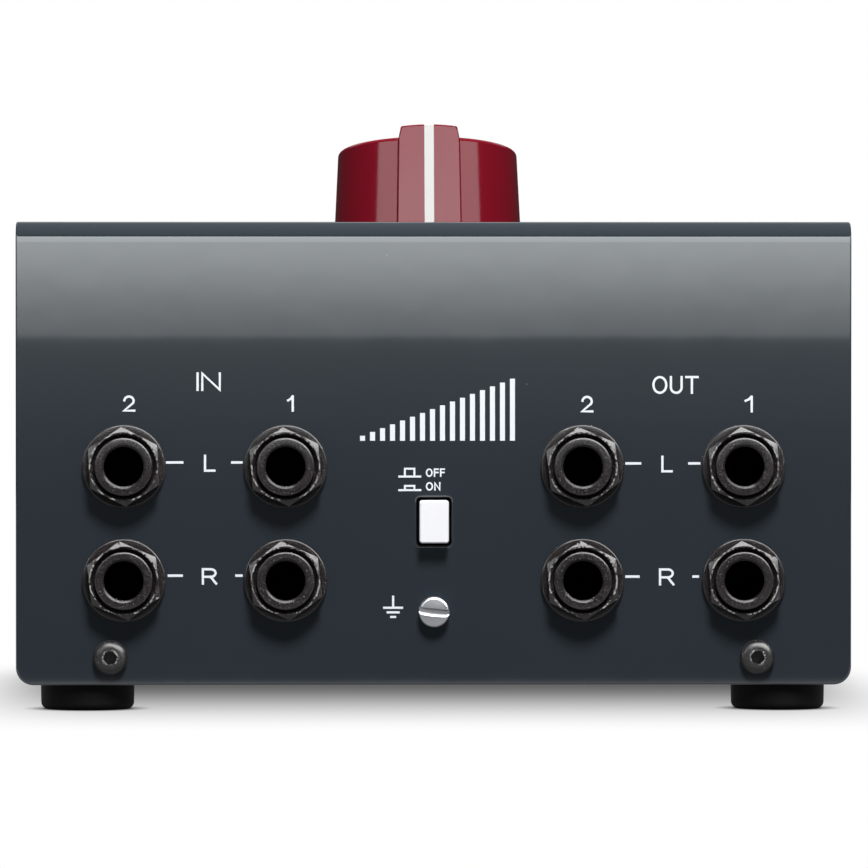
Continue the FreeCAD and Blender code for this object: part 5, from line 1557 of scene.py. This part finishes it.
@dataclass
class Silkscreen:
    """White printing on the rear panel and the deck: plain words, numbers, dashes and scale marks."""

    case: CaseFrame
    palette: Palette
    film: float = 0.012
    film_step: float = 0.006
    film_layers: int = 4
    mitre_limit: float = 0.5
    dial_radius: float = 18.6
    tick_length: float = 2.2
    tick_width: float = 0.35
    short_share: float = 0.6
    numbered_step: int = 5
    number_radius: float = 23.4
    number_height: float = 2.3
    number_pen: float = 0.3
    letter_gap: float = 0.13
    steps: int = 21
    sweep: float = 300.0
    selector_drop: float = 8.2

    WORDS = (
        Word("2", 122.6, 135.0, 395.6, 412.0), Word("1", 286.5, 293.4, 395.6, 412.0),
        Word("2", 580.7, 593.1, 396.0, 412.8), Word("1", 744.5, 752.8, 396.0, 412.8),
        Word("L", 203.4, 215.0, 454.8, 472.0), Word("L", 661.0, 672.6, 456.0, 472.8),
        Word("R", 201.2, 216.7, 568.3, 584.9), Word("R", 658.7, 674.2, 568.8, 586.0),
        Word("IN", 196.0, 220.5, 372.6, 391.2), Word("OUT", 652.0, 698.5, 376.2, 394.2),
        Word("OFF", 425.3, 444.6, 468.7, 477.2, 1.5), Word("ON", 425.3, 440.0, 482.4, 490.9, 1.5),
    )
    STROKES = (
        Stroke(165.5, 183.0, 461.4, 463.9), Stroke(230.6, 242.2, 461.4, 463.9),
        Stroke(167.2, 182.4, 574.6, 577.1), Stroke(234.7, 242.2, 574.6, 577.1),
        Stroke(625.0, 641.0, 462.5, 465.0), Stroke(688.0, 700.3, 462.5, 465.0),
        Stroke(625.0, 639.4, 575.8, 578.3), Stroke(692.2, 698.9, 575.8, 578.3),
        Stroke(397.8, 420.7, 475.8, 477.8), Stroke(403.4, 405.3, 468.0, 476.8),
        Stroke(412.9, 414.8, 468.0, 476.8), Stroke(403.4, 414.8, 468.0, 470.0),
        Stroke(397.8, 420.7, 489.4, 491.4), Stroke(403.4, 405.3, 485.2, 490.4),
        Stroke(412.9, 414.8, 485.2, 490.4), Stroke(403.4, 414.8, 485.2, 487.2),
        Stroke(391.5, 393.7, 596.0, 608.0), Stroke(382.6, 402.6, 607.0, 609.2),
        Stroke(386.1, 399.1, 611.6, 613.8), Stroke(389.6, 395.6, 616.2, 618.4),
    )
    RAMP_LEFT, RAMP_RIGHT, RAMP_FOOT = 362.0, 512.0, 441.0
    RAMP_LOW, RAMP_HIGH, RAMP_BARS = 5.0, 62.0, 16

    def stroke_mesh(self, bm: Mesh, line: Sequence[Vector], pen: float) -> None:
        """Draw one centre line with a pen of even width.

        Args:
            bm: The flat mesh that is drawn in.
            line: The centre line; it is closed when it ends where it starts.
            pen: The pen's width.
        """
        closed = (line[0] - line[-1]).length < 1e-6
        points = list(line[:-1]) if closed else list(line)
        sides = []
        for index, point in enumerate(points):
            before = points[index - 1] if index or closed else None
            after = points[(index + 1) % len(points)] if index + 1 < len(points) or closed else None
            ways = [(point - before).normalized()] if before is not None else []
            ways += [(after - point).normalized()] if after is not None else []
            along = sum(ways, Vector((0.0, 0.0))).normalized()
            across = Vector((-along.y, along.x))
            stretch = max(self.mitre_limit, abs(across.dot(Vector((-ways[0].y, ways[0].x)))))
            cap = Vector((0.0, 0.0))
            if len(ways) == 1:
                cap = along * pen / 2 * (-1.0 if before is None else 1.0)
            sides.append([bm.verts.new((*(point + cap + across * pen / 2 / stretch * sign), 0.0))
                          for sign in (1, -1)])
        pairs = list(zip(sides, sides[1:]))
        if closed:
            pairs.append((sides[-1], sides[0]))
        for (left, right), (next_left, next_right) in pairs:
            bm.faces.new((right, next_right, next_left, left))

    def text_mesh(self, text: str, width: float | None, height: float, pen: float) -> Mesh:
        """Draw a word as a thin film of ink, its lower left corner at the origin.

        Args:
            text: The word.
            width: Its width, or None to keep the characters' proportions.
            height: Its height.
            pen: The width of its strokes.

        Returns:
            The film.
        """
        tall = height - pen
        widths = [GLYPHS[letter].width * tall for letter in text]
        gap = self.letter_gap * height + pen
        total = sum(widths)
        stretch = (width - pen - gap * (len(text) - 1)) / total if width is not None and total else 1.0
        films = []
        left = pen / 2
        for letter, wide in zip(text, widths):
            for order, stroke in enumerate(GLYPHS[letter].strokes):
                flat = bmesh.new()
                line = [Vector((left + x * wide * stretch, pen / 2 + y * tall)) for x, y in stroke]
                self.stroke_mesh(flat, line, pen)
                grow(flat, (0, 0, self.ink_height(order)))
                films.append(flat)
            left += wide * stretch + gap
        return merged(films)

    def ink_height(self, order: int) -> float:
        """Return the thickness of the ink; strokes that cross differ a little."""
        return self.film + self.film_step * order

    def bar_mesh(self, width: float, height: float, order: int) -> Mesh:
        """Print a bar, its lower left corner at the origin."""
        return block(width, height, 0.0, self.ink_height(order % self.film_layers), width / 2, height / 2)

    def put(self, grid: PanelGrid, box: "Word | Stroke", bm: Mesh) -> Mesh:
        """Put a print on the rear panel, its X axis to the viewer's right and its corner in the box's corner."""
        turn = Matrix(((-1, 0, 0, 0), (0, 0, 1, 0), (0, 1, 0, 0), (0, 0, 0, 1)))
        return moved(bm, Matrix.Translation((grid.x(box.left), self.case.rear, grid.z(box.bottom))) @ turn)

    def printed(self, name: str, parts: Sequence[Mesh]) -> Thing:
        """Make one piece of ink."""
        return finished(name, merged(parts), self.palette, "white_plastic", finish="ink", weighted=False)

    def rear(self) -> list[Thing]:
        """Print the rear panel.

        Returns:
            The words and the marks.
        """
        grid = PanelGrid(self.case)
        words = [self.put(grid, word, self.text_mesh(word.text, *grid.size(word), word.pen / grid.per_mm))
                 for word in self.WORDS]
        strokes = list(self.STROKES)
        pitch = (self.RAMP_RIGHT - self.RAMP_LEFT) / (self.RAMP_BARS - 1)
        for index in range(self.RAMP_BARS):
            left = self.RAMP_LEFT + index * pitch
            rise = self.RAMP_LOW + (self.RAMP_HIGH - self.RAMP_LOW) * index / (self.RAMP_BARS - 1)
            strokes.append(Stroke(left - pitch / 4, left + pitch / 4, self.RAMP_FOOT - rise, self.RAMP_FOOT))
        bars = [self.put(grid, bar, self.bar_mesh(*grid.size(bar), order)) for order, bar in enumerate(strokes)]
        return [self.printed("rear_panel_words", words), self.printed("rear_panel_marks", bars)]

    def deck(self) -> list[Thing]:
        """Print the scale around the knob and a number below each deck button.

        Returns:
            The scale.
        """
        marks = []
        for index in range(self.steps):
            turn = math.radians(self.sweep / 2 - index * self.sweep / (self.steps - 1))
            spin = Matrix.Rotation(turn, 4, "Z")
            numbered = index % self.numbered_step == 0
            long = self.tick_length * (1.0 if numbered else self.short_share)
            tick = block(self.tick_width, long, 0.0, self.film, 0.0, self.dial_radius + long / 2)
            marks.append(moved(tick, self.case.on_deck() @ spin))
            if numbered:
                spot = spin @ Vector((0.0, self.number_radius, 0.0))
                marks.append(self.centred(str(index), spot.x, spot.y))
        for number, spot in enumerate(self.case.selectors(), start=1):
            marks.append(self.centred(str(number), spot.x, spot.y - self.selector_drop))
        return [self.printed("deck_scale", marks)]

    def centred(self, text: str, x: float, y: float) -> Mesh:
        """Print a number about a point of the deck.

        Args:
            text: The number.
            x: Its middle along X in the deck's frame.
            y: Its middle along Y in the deck's frame.

        Returns:
            The number in its place.
        """
        word = self.text_mesh(text, None, self.number_height, self.number_pen)
        wide = max(vertex.co.x for vertex in word.verts)
        place = self.case.on_deck(x - wide / 2, y - self.number_height / 2)
        return moved(word, place)


# ---------------------------------------------------------------- inner pieces

@dataclass
class Interior:
    """Gives every construction node that stays its finish."""

    palette: Palette

    def dress(self) -> None:
        """Put each node's slot material on it."""
        for entry in frame["record"]["subparts"]:
            node = frame["nodes"][entry["node"]]
            node.data.materials.clear()
            node.data.materials.append(self.palette[entry["material_slot"]])
            LOG.info("%s wears %s", entry["node"], entry["material_slot"])


# ---------------------------------------------------------------- studio

@dataclass(frozen=True)
class Lamp:
    """A soft disk lamp: its name, its place and width in metres, and its power in watts."""

    name: str
    place: Place
    size: float
    power: float


@dataclass
class Studio:
    """Floor, camera and lights, in metres."""

    ROOM: ClassVar[tuple[Lamp, ...]] = (
        Lamp("key", (-0.10, 0.68, 1.08), 0.35, 25.0),
        Lamp("top", (0.0, -0.25, 1.20), 0.9, 15.0),
        Lamp("fill", (0.35, -1.0, 0.70), 0.6, 8.0),
    )
    SPARKLE: ClassVar[Lamp] = Lamp("sparkle", (-0.38, 0.51, 1.15), 2.3, 145.0)
    CREST: ClassVar[Lamp] = Lamp("crest", (0.0, 0.05, 1.20), 1.0, 12.0)
    REAR_STOPS: ClassVar[Profile] = (
        (0.0, 0.95), (0.0646, 1.05), (0.0738, 1.6), (0.0811, 2.3), (0.090, 3.25), (0.098, 4.1), (0.13, 4.8),
        (0.55, 4.9), (0.72, 5.4))
    FLAG_STOPS: ClassVar[Profile] = ((0.0, 0.03), (0.035, 0.05), (0.045, 0.12), (0.058, 0.28), (0.062, 0.36))
    FRONT_STOPS: ClassVar[Profile] = ((0.0, 0.5), (1.0, 0.9))
    WALL_STOPS: ClassVar[Profile] = ((0.0, 0.03), (1.0, 0.08))

    case: CaseFrame
    distance: float = 1.2
    eye: float = 0.060
    aside: float = 0.024
    pitch: float = 0.68
    focal_pixels: float = 7272.0
    image_side: float = 868.0
    sensor: float = 36.0
    card_radius: float = 1.5
    card_half_sweep: float = 70.0
    card_high: float = 0.86
    flag_distance: float = 0.105
    flag_height: float = 0.0620
    wall_radius: float = 1.7
    wall_high: float = 1.3
    card_tint: Colour = (0.94, 0.985, 1.0)
    wings: float = 0.66
    wing_from: float = 0.5
    wing_to: float = 1.1
    aim_height: float = 0.05
    sky: float = 0.2
    floor_radius: float = 6.0
    # The floor's painted shadow under the case: its depth, and where it fades out at the sides, rear and front.
    shade: float = 0.88
    side_fade: tuple[float, float] = (-0.014, 0.018)
    rear_fade: tuple[float, float] = (-0.1, 0.07)
    front_fade: tuple[float, float] = (-0.06, 0.02)
    # Reach and strength of the painted contact shadows at the feet.
    contact: float = 0.0035
    contact_power: float = 1.5
    bounce_loss: float = 0.65
    gloss_loss: float = 0.3

    def camera(self) -> Thing:
        """Look at the rear panel from a little to the user's right, almost level.

        Returns:
            The camera.
        """
        data = bpy.data.cameras.new("camera")
        data.sensor_width = self.sensor
        data.lens = self.sensor * self.focal_pixels / self.image_side
        data.clip_start, data.clip_end = 0.05, 50.0
        camera = bpy.data.objects.new("camera", data)
        bpy.context.scene.collection.objects.link(camera)
        rear = self.case.rear * MM
        camera.location = (self.aside, rear + self.distance, self.eye)
        target = Vector((0.0, rear, self.eye - self.distance * math.tan(math.radians(self.pitch))))
        camera.rotation_mode = "QUATERNION"
        camera.rotation_quaternion = (target - camera.location).to_track_quat("-Z", "Y")
        bpy.context.scene.camera = camera
        return camera

    def stage_piece(self, name: str, bm: Mesh, material: Material) -> Thing:
        """Put a studio piece into the scene.

        Args:
            name: The piece's name.
            bm: Its mesh in metres, which is freed.
            material: Its material.

        Returns:
            The piece.
        """
        piece = linked(name, bm, material)
        return piece

    def curved_wall(self, radius: float, low: float, high: float, start: float, sweep: float,
                    steps: int = 48) -> Mesh:
        """Sweep an upright line around the object; angles are from +Y, in degrees.

        Args:
            radius: Its distance from the middle.
            low: Height of its foot.
            high: Height of its top.
            start: Where it starts.
            sweep: How far it goes round.
            steps: Faces along it.

        Returns:
            The open wall.
        """
        bm = bmesh.new()
        foot, head = bm.verts.new((0, radius, low)), bm.verts.new((0, radius, high))
        line = bm.edges.new((foot, head))
        bmesh.ops.rotate(bm, matrix=Matrix.Rotation(math.radians(start), 3, "Z"), verts=bm.verts[:])
        bmesh.ops.spin(bm, geom=[foot, head, line], cent=(0, 0, 0), axis=(0, 0, 1), dvec=(0, 0, 0),
                       angle=math.radians(sweep), steps=steps, use_merge=False, use_duplicate=False)
        return bm

    def glow(self, name: str, stops: Profile, wings: float = 1.0) -> Material:
        """Make a light whose strength follows its height.

        Args:
            name: The material's name.
            stops: Height in metres and strength of each stop.
            wings: The share of the strength that is left at both sides.

        Returns:
            The emitting material.
        """
        material = bpy.data.materials.new(name)
        graph = Graph.of(material)
        place = graph.add("SeparateXYZ", Vector=graph.add("TexCoord").outputs["Object"])
        height = place.outputs[2]
        span = stops[-1][0]
        ramp = graph.add("ValToRGB", Fac=graph.maths("DIVIDE", height, span))
        peak = max(strength for _, strength in stops)
        entries = ramp.color_ramp.elements
        for index, (level_at, strength) in enumerate(stops):
            entry = entries[index] if index < 2 else entries.new(level_at / span)
            entry.position = level_at / span
            entry.color = opaque(self.card_tint, strength / peak)
        side = self.ease(graph, graph.maths("ABSOLUTE", place.outputs[0]), self.wing_from, self.wing_to, peak,
                         peak * wings)
        light = graph.add("Emission", Color=ramp.outputs[0], Strength=side)
        graph.add("OutputMaterial", Surface=light.outputs[0])
        return material

    def card(self, name: str, bm: Mesh, stops: Profile, wings: float = 1.0) -> None:
        """Hang a glowing card that shows only in reflections.

        Args:
            name: The card's name.
            bm: Its mesh, which is freed.
            stops: Height in metres and strength of each stop.
            wings: The share of the strength that is left at both sides.
        """
        piece = self.stage_piece(name, bm, self.glow(f"{name}_light", stops, wings))
        piece.visible_camera = False
        piece.visible_diffuse = False
        piece.visible_shadow = False
        piece.visible_transmission = False

    def cards(self) -> None:
        """Hang a wide lit card behind the camera, a dim one in front, and dark flags elsewhere."""
        half = self.card_half_sweep
        self.card("rear_card", self.curved_wall(self.card_radius, 0.0, self.card_high, -half, 2 * half),
                  (*self.REAR_STOPS, (self.card_high, self.REAR_STOPS[-1][1])), self.wings)
        self.card("front_card", self.curved_wall(self.card_radius, low=0.7, high=1.2, start=130.0, sweep=100.0),
                  self.FRONT_STOPS)
        self.card("dark_wall", self.curved_wall(self.wall_radius, low=-0.02, high=self.wall_high, start=0.0,
                                                sweep=360.0, steps=96),
                  self.WALL_STOPS)
        rear = self.case.rear * MM + self.flag_distance
        flag = bmesh.new()
        bmesh.ops.create_grid(flag, x_segments=1, y_segments=1, size=0.5)
        bmesh.ops.scale(flag, vec=(1.0, self.flag_height, 1.0), verts=flag.verts[:])
        bmesh.ops.rotate(flag, matrix=Matrix.Rotation(math.pi / 2, 3, "X"), verts=flag.verts[:])
        bmesh.ops.translate(flag, vec=(0, rear, self.flag_height / 2), verts=flag.verts[:])
        self.card("low_flag", flag, self.FLAG_STOPS)

    def ease(self, graph: Graph, value: Socket, low: float, high: float, start: float,
             end: float) -> Socket:
        """Return a value that goes smoothly from a start to an end while another goes from low to high."""
        return graph.add("MapRange", {"interpolation_type": "SMOOTHSTEP"}, Value=value, From_Min=low, From_Max=high,
                         To_Min=start, To_Max=end).outputs[0]

    def floor(self) -> Thing:
        """Lay a white floor with a painted soft shadow under the case and painted darker contact shadows at the feet.

        Returns:
            The floor.
        """
        material = bpy.data.materials.new("pale_floor")
        graph = Graph.of(material)
        place = graph.add("SeparateXYZ", Vector=graph.add("TexCoord").outputs["Object"])
        case = self.case
        middle_y = (case.rear + case.front) / 2 * MM
        deep = (case.rear - case.front) / 2 * MM
        # Painted shadow: the floor's glow is dimmed under the case, fading out past its sides, rear and front.
        across = graph.maths("ABSOLUTE", place.outputs[0])
        along = graph.maths("SUBTRACT", place.outputs[1], middle_y)
        wide = case.half_width * MM
        side = self.ease(graph, across, *(wide + reach for reach in self.side_fade), 1.0, 0.0)
        rear = self.ease(graph, along, *(deep + reach for reach in self.rear_fade), 1.0, 0.0)
        front = self.ease(graph, along, *(reach - deep for reach in self.front_fade), 0.0, 1.0)
        ends = graph.maths("MULTIPLY", rear, front)
        shade = graph.maths("MULTIPLY", graph.maths("MULTIPLY", side, ends), self.shade)
        # Painted contact shadows: ambient occlusion darkens the floor's glow close to the feet.
        contact = graph.add("AmbientOcclusion", {"samples": 8}, Distance=self.contact)
        light = graph.maths("MULTIPLY", graph.maths("SUBTRACT", 1.0, shade),
                            graph.maths("POWER", contact.outputs["AO"], self.contact_power))
        path = graph.add("LightPath")
        indirect = graph.maths("MULTIPLY", path.outputs["Is Diffuse Ray"], -self.bounce_loss)
        gloss = graph.maths("MULTIPLY", path.outputs["Is Glossy Ray"], -self.gloss_loss)
        dimmed = graph.maths("MULTIPLY", light, graph.maths("ADD", 1.0, graph.maths("ADD", indirect, gloss)))
        white = graph.add("Emission", Color=(1.0, 1.0, 1.0, 1.0), Strength=dimmed)
        graph.add("OutputMaterial", Surface=white.outputs[0])
        bm = bmesh.new()
        bmesh.ops.create_circle(bm, cap_ends=True, segments=96, radius=self.floor_radius)
        return self.stage_piece("floor", bm, material)

    def hang(self, plan: Lamp) -> Thing:
        """Hang a lamp that is aimed at the object and lights it diffusely only.

        Args:
            plan: The lamp's name, place, size and power.

        Returns:
            The lamp.
        """
        data = bpy.data.lights.new(plan.name, "AREA")
        data.shape = "DISK"
        data.size = plan.size
        data.energy = plan.power
        lamp = bpy.data.objects.new(plan.name, data)
        lamp.location = plan.place
        lamp.rotation_mode = "QUATERNION"
        aim = Vector((0.0, self.case.rear * MM, self.aim_height)) - lamp.location
        lamp.rotation_quaternion = aim.to_track_quat("-Z", "Y")
        lamp.visible_glossy = False
        bpy.context.scene.collection.objects.link(lamp)
        return lamp

    def highlight(self, plan: Lamp, receivers: Iterable[Thing]) -> None:
        """Hang a lamp that only shows as a highlight on the pieces that receive it.

        Args:
            plan: The lamp's name, place, size and power.
            receivers: The pieces.
        """
        lamp = self.hang(plan)
        lamp.visible_glossy = True
        lamp.visible_diffuse = False
        group = bpy.data.collections.new(f"{plan.name}_receivers")
        for piece in receivers:
            group.objects.link(piece)
        lamp.light_linking.receiver_collection = group

    def world(self) -> None:
        """Light the room evenly, and show plain white behind the object."""
        world = bpy.data.worlds.new("studio_world")
        bpy.context.scene.world = world
        graph = Graph.of(world)
        path = graph.add("LightPath")
        seen = graph.maths("MAXIMUM", path.outputs["Is Camera Ray"], path.outputs["Is Transmission Ray"])
        strength = graph.maths("ADD", self.sky, graph.maths("MULTIPLY", seen, 1.0 - self.sky))
        backdrop = graph.add("Background", Color=(1.0, 1.0, 1.0, 1.0), Strength=strength)
        graph.add("OutputWorld", Surface=backdrop.outputs[0])

    def build(self, unpolished: Iterable[Thing], knob: Iterable[Thing]) -> None:
        """Set up the whole studio.

        Args:
            unpolished: The small pieces that show a wide lamp as a highlight.
            knob: The pieces that show a line of light along their upper edges.
        """
        self.camera()
        self.cards()
        self.floor()
        for plan in self.ROOM:
            self.hang(plan)
        self.highlight(self.SPARKLE, unpolished)
        self.highlight(self.CREST, knob)
        self.world()
        bpy.context.scene.view_settings.view_transform = "Standard"


def main() -> None:
    """Build every sub-assembly in order."""
    logging.basicConfig(level=logging.INFO, format="%(message)s")
    palette = Palette()
    case = CaseFrame.read()
    Interior(palette).dress()
    folded = FoldedCase(case, palette)
    folded.cover()
    folded.tray()
    small = JackPanel(case, palette).build()
    small += Hardware(case, palette).build()
    PushButtons(case, palette).build()
    knob = PointerKnob(case, palette).build()
    printing = Silkscreen(case, palette)
    printing.rear()
    printing.deck()
    Studio(case).build(small, knob)


if __name__ == "__main__":
    main()
